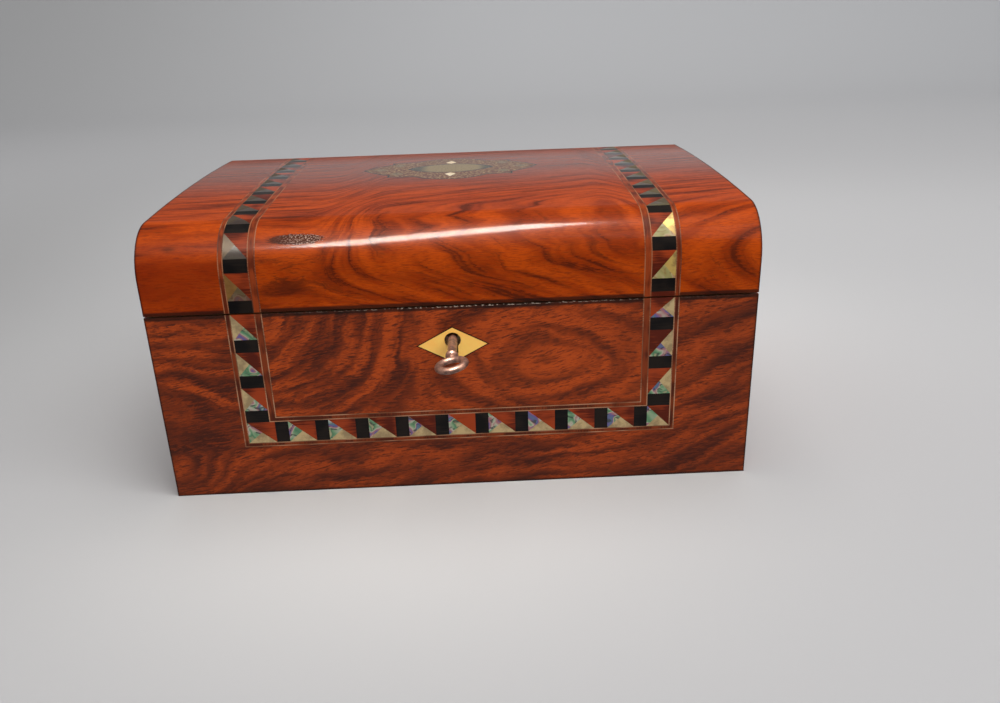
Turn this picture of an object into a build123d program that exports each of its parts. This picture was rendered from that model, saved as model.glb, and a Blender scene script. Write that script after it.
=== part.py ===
from build123d import *
from math import asin, cos, pi, radians, sin
import os

os.makedirs("parts", exist_ok=True)

# A veneered box with a domed lid, inlaid bands, a cartouche, a link-plate lock and a lift-out tray.
# Millimetres. X runs to the right seen from the front, Y to the back, Z up.
# The origin is the middle of the underside.

# Outside sizes
box_width = 280.0
box_depth = 203.0
base_height = 93.0
joint_gap = 0.8
lid_wall_height = 15.7
shoulder_radius = 22.5
crown_radius = 1750.0

# Walls
board = 9.0
veneer = 1.0
bottom_thickness = 8.0
cloth = 1.0

# Inlaid bands, measured from the middle of the box and from its underside
string_width = 0.45
band_inner_edge = 90.4
band_width = 10.8
outer_line_width = 1.5
inner_line_width = 2.6
bottom_band_base = 27.6
bottom_outer_line = 1.3
bottom_inner_line = 1.6
bar_length = 6.3
left_first_square = 12.3
right_first_square = 9.4
side_bar_count = 3
bottom_pitch = 19.13
bottom_bar_count = 10
bottom_band_shift = 1.2
lid_pitch = 19.2
left_lid_bar = 2.7
right_lid_bar = 5.4

# Cartouche
cartouche_width = 98.0
cartouche_height = 66.0
cartouche_back = 19.0
cartouche_line = 1.1
cartouche_step_x = 34.0
cartouche_step_low = 17.5
cartouche_step_high = 22.5
cartouche_lobe_x = 20.0
cartouche_tip_bulge = 1.2
plate_width = 44.0
plate_height = 25.0
kite_width = 6.0
kite_height = 10.0
kite_shoulder = 3.6
lobe_shell_x = 29.5
lobe_shell_y = 13.0
lobe_shell_width = 8.0
lobe_shell_height = 9.5
tip_shell_x = 39.5
tip_shell_width = 10.0
tip_shell_height = 7.5

# Lock, escutcheon and key
lock_x = -1.2
key_drop = 16.6
escutcheon_drop = 2.3
escutcheon_width = 32.0
escutcheon_height = 17.0
keyhole_radius = 3.8
keyhole_slot_width = 4.8
keyhole_slot_drop = 6.8
lock_depth = 7.5
lock_plate_width = 60.0
lock_plate_drop = 33.0
lock_plate_thickness = 1.5
lock_case_width = 48.0
lock_case_drop = 28.0
cap_sheet = 0.8
top_plate_width = 72.0
top_plate_thickness = 1.8
hook_spacing = 30.0
hook_thickness = 2.0
hook_drop = 9.6
hook_lip = 1.3
hook_front = 1.0
flange_screw_rise = 6.75
link_screw_offset = 8.0
bolt_plate = 1.2
bolt_finger = 5.0
finger_height = 2.6
bolt_travel = 6.0
spring_span = 14.0
spring_thickness = 0.4
spring_width = 1.6
spring_bend = 2.0
key_rest_turn = 80.0
key_length = 45.0
pipe_radius = 2.25
drill_pin_radius = 1.0
drill_pin_length = 4.5
pipe_bore_depth = 14.0
bit_reach = 6.2
bit_width = 4.0
bit_thickness = 2.2
bow_radius = 7.6
bow_hole_radius = 4.1
bow_thickness = 3.0
bow_chamfer = 0.8
collar_radius = 2.9
collar_length = 1.6
neck_radius = 1.6
ward_cut_start = 1.6
ward_cut_width = 0.8
ward_cut_depth = 1.7

# Hinges
hinge_from_band = 5.0
hinge_width = 34.0
leaf_depth = 9.0
leaf_thickness = 1.2
barrel_radius = 2.0
hinge_pin_radius = 1.0
barrel_stand_off = 0.2
knuckle_count = 3

# Screws
screw_radius = 1.1
screw_head_radius = 2.1
screw_head_depth = 1.1
screw_length = 5.5
screw_sides = 12
slot_width = 0.5
slot_depth = 0.5

# Lining, bearers and tray
lining_height = 50.0
bearer_width = 6.0
bearer_height = 8.0
tray_height = 32.0
tray_wall = 4.0
tray_rim_chamfer = 0.8
tray_floor_thickness = 2.5
divider = 3.0
divider_drop = 2.0
centre_compartment = 87.0
pad_thickness = 3.0
ribbon_width = 10.0
ribbon_thickness = 0.6
ribbon_loop = 8.0
lid_pad_thickness = 9.0
lid_pad_edge = 5.4

# Clearances
running = 0.05
free = 0.6
bolt_gap = 0.6
loose = 0.3
tray_gap = 0.9

# Sizes that follow from the ones above
half_width = box_width / 2
half_depth = box_depth / 2
wall = board + veneer
carcass_x = half_width - veneer
carcass_y = half_depth - veneer
inner_x = half_width - wall
inner_y = half_depth - wall
lid_base = base_height + joint_gap
lid_spring = lid_base + lid_wall_height
crown_turn = asin((half_depth - shoulder_radius) / (crown_radius - shoulder_radius))
crown_centre = lid_spring - (crown_radius - shoulder_radius) * cos(crown_turn)
lid_top = crown_centre + crown_radius
key_height = base_height - key_drop
hinge_y = half_depth + barrel_stand_off + barrel_radius
hinge_z = base_height + joint_gap / 2

# Distances along the lid's outline, counted from its front lower edge
shoulder_start = lid_wall_height
shoulder_end = shoulder_start + shoulder_radius * (pi / 2 - crown_turn)
lid_middle = shoulder_end + crown_radius * crown_turn
lid_end = 2 * lid_middle
outline_corners = [
    shoulder_start,
    shoulder_end,
    lid_middle,
    lid_end - shoulder_end,
    lid_end - shoulder_start,
]

# Edges of the band and its lines, from the middle of the box outwards
band_outer_edge = band_inner_edge + band_width
inner_string_edge = band_inner_edge - string_width
inner_line_edge = inner_string_edge - inner_line_width
band_start = inner_line_edge - string_width
outer_string_edge = band_outer_edge + string_width
outer_line_edge = outer_string_edge + outer_line_width
band_finish = outer_line_edge + string_width
bottom_band_top = bottom_band_base + band_width

front_face = Plane.XZ.offset(half_depth)
front_board_face = Plane.XZ.offset(carcass_y)


def lid_point(distance, inset):
    """Point of the lid's outline at a distance along it, inset from its outer face, as (y, z)."""
    if distance > lid_middle:
        y, z = lid_point(lid_end - distance, inset)
        return -y, z
    if distance <= shoulder_start:
        return inset - half_depth, lid_base + distance
    if distance <= shoulder_end:
        angle = pi - (distance - shoulder_start) / shoulder_radius
        reach = shoulder_radius - inset
        return shoulder_radius - half_depth + reach * cos(angle), lid_spring + reach * sin(angle)
    angle = pi / 2 + crown_turn - (distance - shoulder_end) / crown_radius
    reach = crown_radius - inset
    return reach * cos(angle), crown_centre + reach * sin(angle)


def outline_run(start, finish, inset):
    """One run of the outline between two of its corners: straight on a wall, else an arc."""
    first = lid_point(start, inset)
    last = lid_point(finish, inset)
    if finish <= shoulder_start or start >= lid_end - shoulder_start:
        Line(first, last)
    else:
        ThreePointArc(first, lid_point((start + finish) / 2, inset), last)


def lid_layer(start, finish, outside, inside):
    """Section of a layer of the lid between two distances along it."""
    stops = [start] + [s for s in outline_corners if start < s < finish] + [finish]
    with BuildSketch() as section:
        with BuildLine():
            for near, far in zip(stops, stops[1:]):
                outline_run(near, far, outside)
                outline_run(near, far, inside)
            Line(lid_point(start, outside), lid_point(start, inside))
            Line(lid_point(finish, outside), lid_point(finish, inside))
        make_face()
    return section.sketch


def lid_section(inset):
    """Full section of the lid inside its outline."""
    stops = [0] + outline_corners + [lid_end]
    with BuildSketch() as section:
        with BuildLine():
            for near, far in zip(stops, stops[1:]):
                outline_run(near, far, inset)
            Line(lid_point(0, inset), lid_point(lid_end, inset))
        make_face()
    return section.sketch


def upright_rectangle(left, right, low, high):
    """Rectangle by its four limits, added to the open sketch."""
    with Locations(((left + right) / 2, (low + high) / 2)):
        Rectangle(right - left, high - low)


def block(x_limits, y_limits, z_limits, mode=Mode.ADD):
    """Box by its limits, added to the open part."""
    middle = [(low + high) / 2 for low, high in (x_limits, y_limits, z_limits)]
    size = [high - low for low, high in (x_limits, y_limits, z_limits)]
    with Locations(tuple(middle)):
        Box(*size, mode=mode)


# Screws: one countersunk form, and the hole that it goes in


def screw_form(grow, slotted):
    """Countersunk screw pointing down from its head at the origin, made larger by grow for its hole."""
    with BuildPart() as body:
        with BuildSketch():
            RegularPolygon(screw_head_radius + grow, screw_sides)
        with BuildSketch(Plane.XY.offset(-screw_head_depth)):
            RegularPolygon(screw_radius + grow, screw_sides)
        loft(ruled=True)
        with BuildSketch(Plane.XY.offset(-screw_head_depth)):
            RegularPolygon(screw_radius + grow, screw_sides)
        extrude(amount=screw_head_depth - screw_length - grow)
        if slotted:
            with BuildSketch():
                Rectangle(3 * screw_head_radius, slot_width)
            extrude(amount=-slot_depth, mode=Mode.SUBTRACT)
    return body.part


screw = screw_form(0, True)
screw_hole = screw_form(running, False)

hinge_middle = band_start - hinge_from_band - hinge_width / 2
hinge_centres = [-hinge_middle, hinge_middle]
hinge_screw_steps = [-hinge_width / 4, hinge_width / 4]
leaf_inner_y = half_depth - leaf_depth
hinge_screw_y = (leaf_inner_y + carcass_y) / 2
base_hinge_screws = [
    Location((x + step, hinge_screw_y, base_height)) for x in hinge_centres for step in hinge_screw_steps
]
lid_hinge_screws = [
    Location((x + step, hinge_screw_y, lid_base), (180, 0, 0)) for x in hinge_centres for step in hinge_screw_steps
]

lock_front = lock_depth + inner_y
lock_plate_limits = (lock_x - lock_plate_width / 2, lock_x + lock_plate_width / 2)
lock_case_limits = (lock_x - lock_case_width / 2, lock_x + lock_case_width / 2)
top_plate_limits = (lock_x - top_plate_width / 2, lock_x + top_plate_width / 2)
case_middle_y = -(lock_front + inner_y + lock_plate_thickness) / 2
top_screw_x = (top_plate_width + lock_plate_width) / 4
top_plate_screws = [Location((lock_x + side * top_screw_x, case_middle_y, base_height)) for side in (-1, 1)]
flange_x = (lock_plate_width + lock_case_width) / 4
flange_z = base_height - lock_plate_drop + flange_screw_rise
flange_screws = [Location((lock_x + side * flange_x, -inner_y, flange_z), (-90, 0, 0)) for side in (-1, 1)]
link_screw_x = hook_spacing / 2 + link_screw_offset
link_plate_screws = [
    Location((lock_x + side * link_screw_x, case_middle_y, lid_base), (180, 0, 0)) for side in (-1, 1)
]


def keyhole(grow):
    """Outline of the keyhole on the front, larger by grow, drawn in the open sketch."""
    with Locations((lock_x, key_height)):
        Circle(keyhole_radius + grow)
    upright_rectangle(
        lock_x - keyhole_slot_width / 2 - grow,
        lock_x + keyhole_slot_width / 2 + grow,
        key_height - keyhole_slot_drop - grow,
        key_height,
    )


# Carcass of the base

with BuildPart() as bottom_panel:
    block((-inner_x, inner_x), (-inner_y, inner_y), (0, bottom_thickness))

with BuildPart() as base_front_board:
    block((-carcass_x, carcass_x), (-carcass_y, -inner_y), (0, base_height))
    block(
        lock_plate_limits,
        (-inner_y - lock_plate_thickness, -inner_y),
        (base_height - lock_plate_drop, base_height),
        mode=Mode.SUBTRACT,
    )
    block(
        lock_case_limits,
        (-lock_front, -inner_y),
        (base_height - lock_case_drop, base_height),
        mode=Mode.SUBTRACT,
    )
    block(
        top_plate_limits,
        (-lock_front, -inner_y),
        (base_height - top_plate_thickness, base_height),
        mode=Mode.SUBTRACT,
    )
    with BuildSketch(front_board_face):
        keyhole(0)
    extrude(amount=-board, mode=Mode.SUBTRACT)
    for place in top_plate_screws + flange_screws:
        with Locations(place):
            add(screw_hole, mode=Mode.SUBTRACT)

with BuildPart() as base_back_board:
    block((-carcass_x, carcass_x), (inner_y, carcass_y), (0, base_height))
    for x in hinge_centres:
        block(
            (x - hinge_width / 2, x + hinge_width / 2),
            (leaf_inner_y, carcass_y),
            (base_height - leaf_thickness, base_height),
            mode=Mode.SUBTRACT,
        )
    for place in base_hinge_screws:
        with Locations(place):
            add(screw_hole, mode=Mode.SUBTRACT)

with BuildPart() as base_left_board:
    block((-carcass_x, -inner_x), (-inner_y, inner_y), (0, base_height))

with BuildPart() as base_right_board:
    block((inner_x, carcass_x), (-inner_y, inner_y), (0, base_height))


# Veneer and inlay of the front


def frame_part(side_edge, bottom_edge, width_side, width_bottom):
    """A veneer-thick open frame let into the front, by its outer edge and its widths."""
    with BuildPart() as strip:
        with BuildSketch(front_face):
            upright_rectangle(-side_edge, side_edge, bottom_edge, base_height)
            with Locations((0, (bottom_edge + width_bottom + base_height) / 2)):
                Rectangle(
                    2 * (side_edge - width_side),
                    base_height - bottom_edge - width_bottom,
                    mode=Mode.SUBTRACT,
                )
        extrude(amount=-veneer)
    return strip.part


outer_string_bottom = bottom_band_base - string_width
outer_line_bottom = outer_string_bottom - bottom_outer_line
outermost_bottom = outer_line_bottom - string_width
inner_line_bottom = bottom_band_top + string_width
innermost_string_bottom = inner_line_bottom + bottom_inner_line
field_bottom = innermost_string_bottom + string_width

with BuildPart() as base_stringing:
    add(frame_part(band_finish, outermost_bottom, string_width, string_width))
    add(frame_part(outer_string_edge, outer_string_bottom, string_width, string_width))
    add(frame_part(band_inner_edge, bottom_band_top, string_width, string_width))
    add(frame_part(inner_line_edge, innermost_string_bottom, string_width, string_width))

with BuildPart() as base_crossband:
    add(frame_part(outer_line_edge, outer_line_bottom, outer_line_width, bottom_outer_line))
    add(frame_part(inner_string_edge, inner_line_bottom, inner_line_width, bottom_inner_line))


def escutcheon_diamond():
    """Outline of the escutcheon, round the keyhole."""
    middle = key_height - escutcheon_drop
    with BuildSketch() as figure:
        with BuildLine():
            Polyline(
                (lock_x + escutcheon_width / 2, middle),
                (lock_x, middle + escutcheon_height / 2),
                (lock_x - escutcheon_width / 2, middle),
                (lock_x, middle - escutcheon_height / 2),
                close=True,
            )
        make_face()
    return figure.sketch


with BuildPart() as base_front_veneer:
    with BuildSketch(front_face):
        upright_rectangle(-half_width, half_width, 0, base_height)
        with Locations((0, (outermost_bottom + base_height) / 2)):
            Rectangle(2 * band_finish, base_height - outermost_bottom, mode=Mode.SUBTRACT)
        upright_rectangle(-band_start, band_start, field_bottom, base_height)
        add(escutcheon_diamond(), mode=Mode.SUBTRACT)
    extrude(amount=-veneer)

with BuildPart() as base_back_veneer:
    block((-half_width, half_width), (carcass_y, half_depth), (0, base_height))
    for x in hinge_centres:
        block(
            (x - hinge_width / 2, x + hinge_width / 2),
            (carcass_y, half_depth),
            (base_height - leaf_thickness, base_height),
            mode=Mode.SUBTRACT,
        )

with BuildPart() as base_left_veneer:
    block((-half_width, -carcass_x), (-carcass_y, carcass_y), (0, base_height))

with BuildPart() as base_right_veneer:
    block((carcass_x, half_width), (-carcass_y, carcass_y), (0, base_height))

# The pattern of the bands. Each square is cut by a diagonal into a redwood triangle and a
# half that is cut again, from its corner to the middle, into a brass and a shell triangle.


def flat_pieces(outlines):
    """Veneer-thick pieces let into the front, one for each outline."""
    with BuildPart() as pieces:
        with BuildSketch(front_face):
            for corners in outlines:
                with BuildLine():
                    Polyline(*corners, close=True)
                make_face()
        extrude(amount=-veneer)
    return pieces.part


def square_triangles(outer, inner, low, high):
    """Redwood, brass and shell triangles of a square whose diagonal falls from its outer top corner."""
    middle = ((outer + inner) / 2, (low + high) / 2)
    redwood = [(outer, high), (inner, high), (inner, low)]
    brass = [(outer, low), (outer, high), middle]
    shell = [(outer, low), (inner, low), middle]
    return redwood, brass, shell


def rectangle_corners(left, right, low, high):
    """Corners of a rectangle by its limits."""
    return [(left, low), (right, low), (right, high), (left, high)]


front_bars = []
front_redwood = []
front_brass = []
front_shell = []

# Side bands of the front, from the joint down to a last bar that stands on the bottom band
for side, first_square in ((-1, left_first_square), (1, right_first_square)):
    outer = side * band_outer_edge
    inner = side * band_inner_edge
    left, right = min(outer, inner), max(outer, inner)
    first_top = base_height - first_square
    fall = (first_top - bottom_band_top - bar_length) / (side_bar_count - 1)
    square_top = base_height
    for place in range(side_bar_count):
        bar_top = first_top - place * fall
        redwood, brass, shell = square_triangles(outer, inner, bar_top, square_top)
        front_redwood.append(redwood)
        front_brass.append(brass)
        front_shell.append(shell)
        front_bars.append(rectangle_corners(left, right, bar_top - bar_length, bar_top))
        square_top = bar_top - bar_length

# Bottom band, from corner to corner
bottom_bars = [
    (place - (bottom_bar_count - 1) / 2) * bottom_pitch + bottom_band_shift for place in range(bottom_bar_count)
]
square_left = -band_outer_edge
for bar_middle in bottom_bars + [None]:
    square_right = band_outer_edge if bar_middle is None else bar_middle - bar_length / 2
    middle = ((square_left + square_right) / 2, (bottom_band_base + bottom_band_top) / 2)
    front_redwood.append(
        [(square_left, bottom_band_top), (square_right, bottom_band_top), (square_right, bottom_band_base)]
    )
    front_shell.append([(square_left, bottom_band_base), (square_left, bottom_band_top), middle])
    front_brass.append([(square_left, bottom_band_base), (square_right, bottom_band_base), middle])
    if bar_middle is not None:
        bar_right = bar_middle + bar_length / 2
        front_bars.append(rectangle_corners(square_right, bar_right, bottom_band_base, bottom_band_top))
        square_left = bar_right

with BuildPart() as base_band_ebony:
    add(flat_pieces(front_bars))

with BuildPart() as base_band_redwood:
    add(flat_pieces(front_redwood))

with BuildPart() as base_band_brass:
    add(flat_pieces(front_brass))

with BuildPart() as base_band_shell:
    add(flat_pieces(front_shell))

with BuildPart() as escutcheon:
    with BuildSketch(front_face):
        add(escutcheon_diamond())
    extrude(amount=-veneer)
    with BuildSketch(front_face):
        keyhole(0)
    extrude(amount=-veneer, mode=Mode.SUBTRACT)

# Lock

case_inner_back = -inner_y - lock_plate_thickness
case_inner_front = -lock_front + cap_sheet
finger_back = case_inner_back - running - bolt_plate
hook_front_y = case_inner_front + free
hook_back_y = finger_back - loose
hook_centres = [lock_x - hook_spacing / 2, lock_x + hook_spacing / 2]

with BuildPart() as lock_plate:
    block(lock_plate_limits, (case_inner_back, -inner_y), (base_height - lock_plate_drop, base_height))
    block(top_plate_limits, (-lock_front, -inner_y), (base_height - top_plate_thickness, base_height))
    for x in hook_centres:
        block(
            (x - hook_thickness / 2 - free, x + hook_thickness / 2 + free),
            (case_inner_front, case_inner_back),
            (base_height - top_plate_thickness, base_height),
            mode=Mode.SUBTRACT,
        )
    with Locations(Location((lock_x, -inner_y, key_height), (90, 0, 0))):
        Cylinder(
            drill_pin_radius,
            lock_plate_thickness,
            align=(Align.CENTER, Align.CENTER, Align.MIN),
            mode=Mode.SUBTRACT,
        )
    for place in top_plate_screws + flange_screws:
        with Locations(place):
            add(screw_hole, mode=Mode.SUBTRACT)

with BuildPart() as lock_cap:
    block(
        lock_case_limits,
        (-lock_front, case_inner_back),
        (base_height - lock_case_drop, base_height - top_plate_thickness),
    )
    block(
        (lock_case_limits[0] + cap_sheet, lock_case_limits[1] - cap_sheet),
        (case_inner_front, case_inner_back),
        (base_height - lock_case_drop + cap_sheet, base_height - top_plate_thickness),
        mode=Mode.SUBTRACT,
    )
    with BuildSketch(Plane.XZ.offset(lock_front)):
        keyhole(0)
    extrude(amount=-cap_sheet, mode=Mode.SUBTRACT)

with BuildPart() as lock_pin:
    with Locations(Location((lock_x, -inner_y, key_height), (90, 0, 0))):
        Cylinder(
            drill_pin_radius,
            lock_plate_thickness + drill_pin_length,
            align=(Align.CENTER, Align.CENTER, Align.MIN),
        )

# Sliding bolt: a plate with an arch over the key's turning circle and a stud for each hook
finger_front = hook_front_y + hook_front + loose
finger_low = lid_base - hook_drop + hook_lip + loose
finger_high = finger_low + finger_height
bolt_top = base_height - top_plate_thickness - loose
bolt_bottom = base_height - lock_case_drop + cap_sheet + free
bit_clear = bit_reach + bolt_gap
bolt_back_travel = bolt_travel * key_rest_turn / 360
bolt_throw = bolt_travel - bolt_back_travel
bolt_left = lock_case_limits[0] + cap_sheet + bolt_back_travel + loose
bolt_right = lock_case_limits[1] - cap_sheet - bolt_throw - loose

with BuildPart() as lock_bolt:
    with BuildSketch(Plane.XZ.offset(-case_inner_back + running)):
        upright_rectangle(bolt_left, bolt_right, bolt_bottom, bolt_top)
        with Locations((lock_x + (bolt_back_travel - bolt_throw) / 2, key_height)):
            SlotCenterToCenter(bolt_travel, 2 * bit_clear, mode=Mode.SUBTRACT)
        with Locations((lock_x + (bolt_back_travel - bolt_throw) / 2, key_height - bit_clear)):
            Rectangle(bolt_travel + 2 * bit_clear, 2 * bit_clear, mode=Mode.SUBTRACT)
    extrude(amount=bolt_plate)

with BuildPart() as bolt_studs:
    for x in hook_centres:
        tip = x - hook_thickness / 2 - bolt_gap
        block((tip - bolt_finger, tip), (finger_front, finger_back), (finger_low, finger_high))

spring_end_y = finger_back - spring_thickness / 2 - running
spring_crest_y = case_inner_front + spring_thickness / 2 + loose
spring_top = finger_high - bolt_gap

with BuildPart() as bolt_spring:
    with BuildSketch(Plane.XY.offset(spring_top)):
        with BuildLine():
            FilletPolyline(
                (lock_x - spring_span / 2, spring_end_y),
                (lock_x, spring_crest_y),
                (lock_x + spring_span / 2, spring_end_y),
                radius=spring_bend,
            )
            offset(amount=spring_thickness / 2, side=Side.BOTH, kind=Kind.INTERSECTION, mode=Mode.REPLACE)
        make_face()
    extrude(amount=-spring_width)

# Key, drawn in the plane of its bow and bit: along the shank from the pipe's mouth, then towards the bit
key_mouth = case_inner_back - loose
turn = radians(key_rest_turn)
key_plane = Plane(origin=(lock_x, key_mouth, key_height), x_dir=(0, -1, 0), z_dir=(cos(turn), 0, -sin(turn)))
shank_axis = Axis((lock_x, key_mouth, key_height), (0, -1, 0))
bow_middle = key_length - bow_radius
bow_inner_end = key_length - 2 * bow_radius

with BuildPart() as key:
    with BuildSketch(key_plane):
        with BuildLine():
            Polyline(
                (0, drill_pin_radius + running),
                (0, pipe_radius),
                (bow_inner_end - 2 * collar_length, pipe_radius),
                (bow_inner_end - 1.5 * collar_length, collar_radius),
                (bow_inner_end - 0.5 * collar_length, collar_radius),
                (bow_inner_end, pipe_radius),
                (bow_inner_end + collar_length, neck_radius),
                (bow_inner_end + collar_length, 0),
                (pipe_bore_depth, 0),
                (pipe_bore_depth, drill_pin_radius + running),
                close=True,
            )
        make_face()
    revolve(axis=shank_axis)
    with BuildSketch(key_plane):
        with Locations((bow_middle, 0)):
            Circle(bow_radius)
            Circle(bow_hole_radius, mode=Mode.SUBTRACT)
    extrude(amount=bow_thickness / 2, both=True)
    with BuildSketch(key_plane):
        with BuildLine():
            Polyline(
                (loose, drill_pin_radius + free),
                (loose, bit_reach),
                (ward_cut_start, bit_reach),
                (ward_cut_start, bit_reach - ward_cut_depth),
                (ward_cut_start + ward_cut_width, bit_reach - ward_cut_depth),
                (ward_cut_start + ward_cut_width, bit_reach),
                (bit_width, bit_reach),
                (bit_width, drill_pin_radius + free),
                close=True,
            )
        make_face()
    extrude(amount=bit_thickness / 2, both=True)
    bow_rims = key.edges().filter_by(GeomType.CIRCLE).filter_by(
        lambda rim: abs(rim.radius - bow_radius) < running or abs(rim.radius - bow_hole_radius) < running
    )
    chamfer(bow_rims, bow_chamfer)

# Hinges: leaves let in flush, knuckles shared out between base and lid


def hinge_leaf(x_middle, leaf_low, leaf_high, first_knuckle):
    """A leaf between two heights, with every second knuckle from the first given."""
    knuckle = hinge_width / knuckle_count
    with BuildPart() as leaf:
        block(
            (x_middle - hinge_width / 2, x_middle + hinge_width / 2),
            (leaf_inner_y, half_depth),
            (leaf_low, leaf_high),
        )
        for place in range(first_knuckle, knuckle_count, 2):
            start = x_middle - hinge_width / 2 + place * knuckle
            limits = (start + running, start + knuckle - running)
            with BuildSketch(Plane.YZ.offset(limits[0])):
                with Locations((hinge_y, hinge_z)):
                    Circle(barrel_radius)
                upright_rectangle(half_depth - running, hinge_y, leaf_low, leaf_high)
                with Locations((hinge_y, hinge_z)):
                    Circle(hinge_pin_radius + running, mode=Mode.SUBTRACT)
            extrude(amount=limits[1] - limits[0])
    return leaf.part


base_leaves = []
lid_leaves = []
for x in hinge_centres:
    with BuildPart() as base_leaf:
        add(hinge_leaf(x, base_height - leaf_thickness, base_height, 0))
        for place in base_hinge_screws:
            with Locations(place):
                add(screw_hole, mode=Mode.SUBTRACT)
    base_leaves.append(base_leaf)
    with BuildPart() as lid_leaf:
        add(hinge_leaf(x, lid_base, lid_base + leaf_thickness, 1))
        for place in lid_hinge_screws:
            with Locations(place):
                add(screw_hole, mode=Mode.SUBTRACT)
    lid_leaves.append(lid_leaf)

with BuildPart() as hinge_pins:
    with Locations(*[Location((x, hinge_y, hinge_z), (0, 90, 0)) for x in hinge_centres]):
        Cylinder(hinge_pin_radius, hinge_width)

with BuildPart() as base_screws:
    for place in base_hinge_screws + top_plate_screws + flange_screws:
        with Locations(place):
            add(screw)

with BuildPart() as lid_screws:
    for place in lid_hinge_screws + link_plate_screws:
        with Locations(place):
            add(screw)

# Lid: rails that carry the rounded shoulders, ends, and a top board sprung between the rails


def lid_rail(start, finish):
    """Front or back rail between the ends of the lid, from its edge round to the top board."""
    with BuildPart() as rail:
        with BuildSketch(Plane.YZ.offset(-inner_x)):
            add(lid_layer(start, finish, veneer, wall))
        extrude(amount=2 * inner_x)
    return rail.part


with BuildPart() as lid_front_rail:
    add(lid_rail(0, shoulder_end))
    block(
        top_plate_limits,
        (-lock_front, -inner_y),
        (lid_base, lid_base + top_plate_thickness),
        mode=Mode.SUBTRACT,
    )
    for place in link_plate_screws:
        with Locations(place):
            add(screw_hole, mode=Mode.SUBTRACT)

with BuildPart() as lid_back_rail:
    add(lid_rail(lid_end - shoulder_end, lid_end))
    for x in hinge_centres:
        block(
            (x - hinge_width / 2, x + hinge_width / 2),
            (leaf_inner_y, carcass_y),
            (lid_base, lid_base + leaf_thickness),
            mode=Mode.SUBTRACT,
        )
    for place in lid_hinge_screws:
        with Locations(place):
            add(screw_hole, mode=Mode.SUBTRACT)

with BuildPart() as lid_top_board:
    with BuildSketch(Plane.YZ.offset(-inner_x)):
        add(lid_layer(shoulder_end, lid_end - shoulder_end, veneer, wall))
    extrude(amount=2 * inner_x)

with BuildPart() as lid_left_end:
    with BuildSketch(Plane.YZ.offset(-carcass_x)):
        add(lid_section(veneer))
    extrude(amount=board)

with BuildPart() as lid_right_end:
    with BuildSketch(Plane.YZ.offset(inner_x)):
        add(lid_section(veneer))
    extrude(amount=board)

with BuildPart() as lid_left_veneer:
    with BuildSketch(Plane.YZ.offset(-half_width)):
        add(lid_section(veneer))
    extrude(amount=veneer)

with BuildPart() as lid_right_veneer:
    with BuildSketch(Plane.YZ.offset(carcass_x)):
        add(lid_section(veneer))
    extrude(amount=veneer)


def lid_sheet(left, right, start=0, finish=lid_end):
    """Veneer-thick sheet bent over the lid between two sides."""
    with BuildPart() as sheet:
        with BuildSketch(Plane.YZ.offset(left)):
            add(lid_layer(start, finish, 0, veneer))
        extrude(amount=right - left)
    return sheet.part


def both_sides(near, far):
    """The same strip left and right of the middle, as pairs of limits."""
    return [(-far, -near), (near, far)]


# Cartouche outline: pointed ends, a step, and a round lobe above and below, mirrored both ways


def cartouche_outline(inset):
    """Outline of the cartouche, inset from its edge."""
    with BuildSketch() as figure:
        with BuildLine():
            tip = SagittaArc(
                (cartouche_width / 2, 0), (cartouche_step_x, cartouche_step_low), -cartouche_tip_bulge
            )
            step = Line(tip @ 1, (cartouche_step_x, cartouche_step_high))
            shelf = Line(step @ 1, (cartouche_lobe_x, cartouche_step_high))
            mirror(about=Plane.YZ)
            ThreePointArc(shelf @ 1, (0, cartouche_height / 2), (-cartouche_lobe_x, cartouche_step_high))
            mirror(about=Plane.XZ)
        make_face()
        if inset:
            offset(amount=-inset, kind=Kind.INTERSECTION, mode=Mode.REPLACE)
    return figure.sketch


cartouche_plane = Plane((lock_x, cartouche_back, lid_top + veneer))
cartouche_cut = 5 * veneer


def pointed_oval(width, height):
    """Oval with pointed left and right ends."""
    with BuildSketch() as figure:
        with BuildLine():
            upper = ThreePointArc((-width / 2, 0), (0, height / 2), (width / 2, 0))
            ThreePointArc(upper @ 1, (0, -height / 2), upper @ 0)
        make_face()
    return figure.sketch


def kite(side):
    """Kite above (1) or below (-1) the plate, with its wide part nearer the plate."""
    start = side * kite_start
    shoulder = start + side * kite_shoulder
    with BuildSketch() as figure:
        with BuildLine():
            Polyline(
                (0, start),
                (kite_width / 2, shoulder),
                (0, start + side * kite_height),
                (-kite_width / 2, shoulder),
                close=True,
            )
        make_face()
    return figure.sketch


kite_start = plate_height / 2 + cartouche_line + free


def pearl_diamond(x, y, width, height):
    """Diamond-shaped piece of pearl about a point."""
    with BuildSketch() as figure:
        with BuildLine():
            Polyline((x + width / 2, y), (x, y + height / 2), (x - width / 2, y), (x, y - height / 2), close=True)
        make_face()
    return figure.sketch


pearl_pieces = [pearl_diamond(side * tip_shell_x, 0, tip_shell_width, tip_shell_height) for side in (-1, 1)] + [
    pearl_diamond(x, y, lobe_shell_width, lobe_shell_height)
    for x in (-lobe_shell_x, lobe_shell_x)
    for y in (-lobe_shell_y, lobe_shell_y)
]

crown_sheet = lid_sheet(-band_start, band_start, shoulder_end, lid_end - shoulder_end)

with BuildPart() as cartouche_plate:
    with BuildSketch(cartouche_plane):
        add(pointed_oval(plate_width, plate_height))
    extrude(amount=-cartouche_cut)
    add(crown_sheet, mode=Mode.INTERSECT)

with BuildPart() as cartouche_kites:
    with BuildSketch(cartouche_plane):
        add(kite(1))
        add(kite(-1))
    extrude(amount=-cartouche_cut)
    add(crown_sheet, mode=Mode.INTERSECT)

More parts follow.
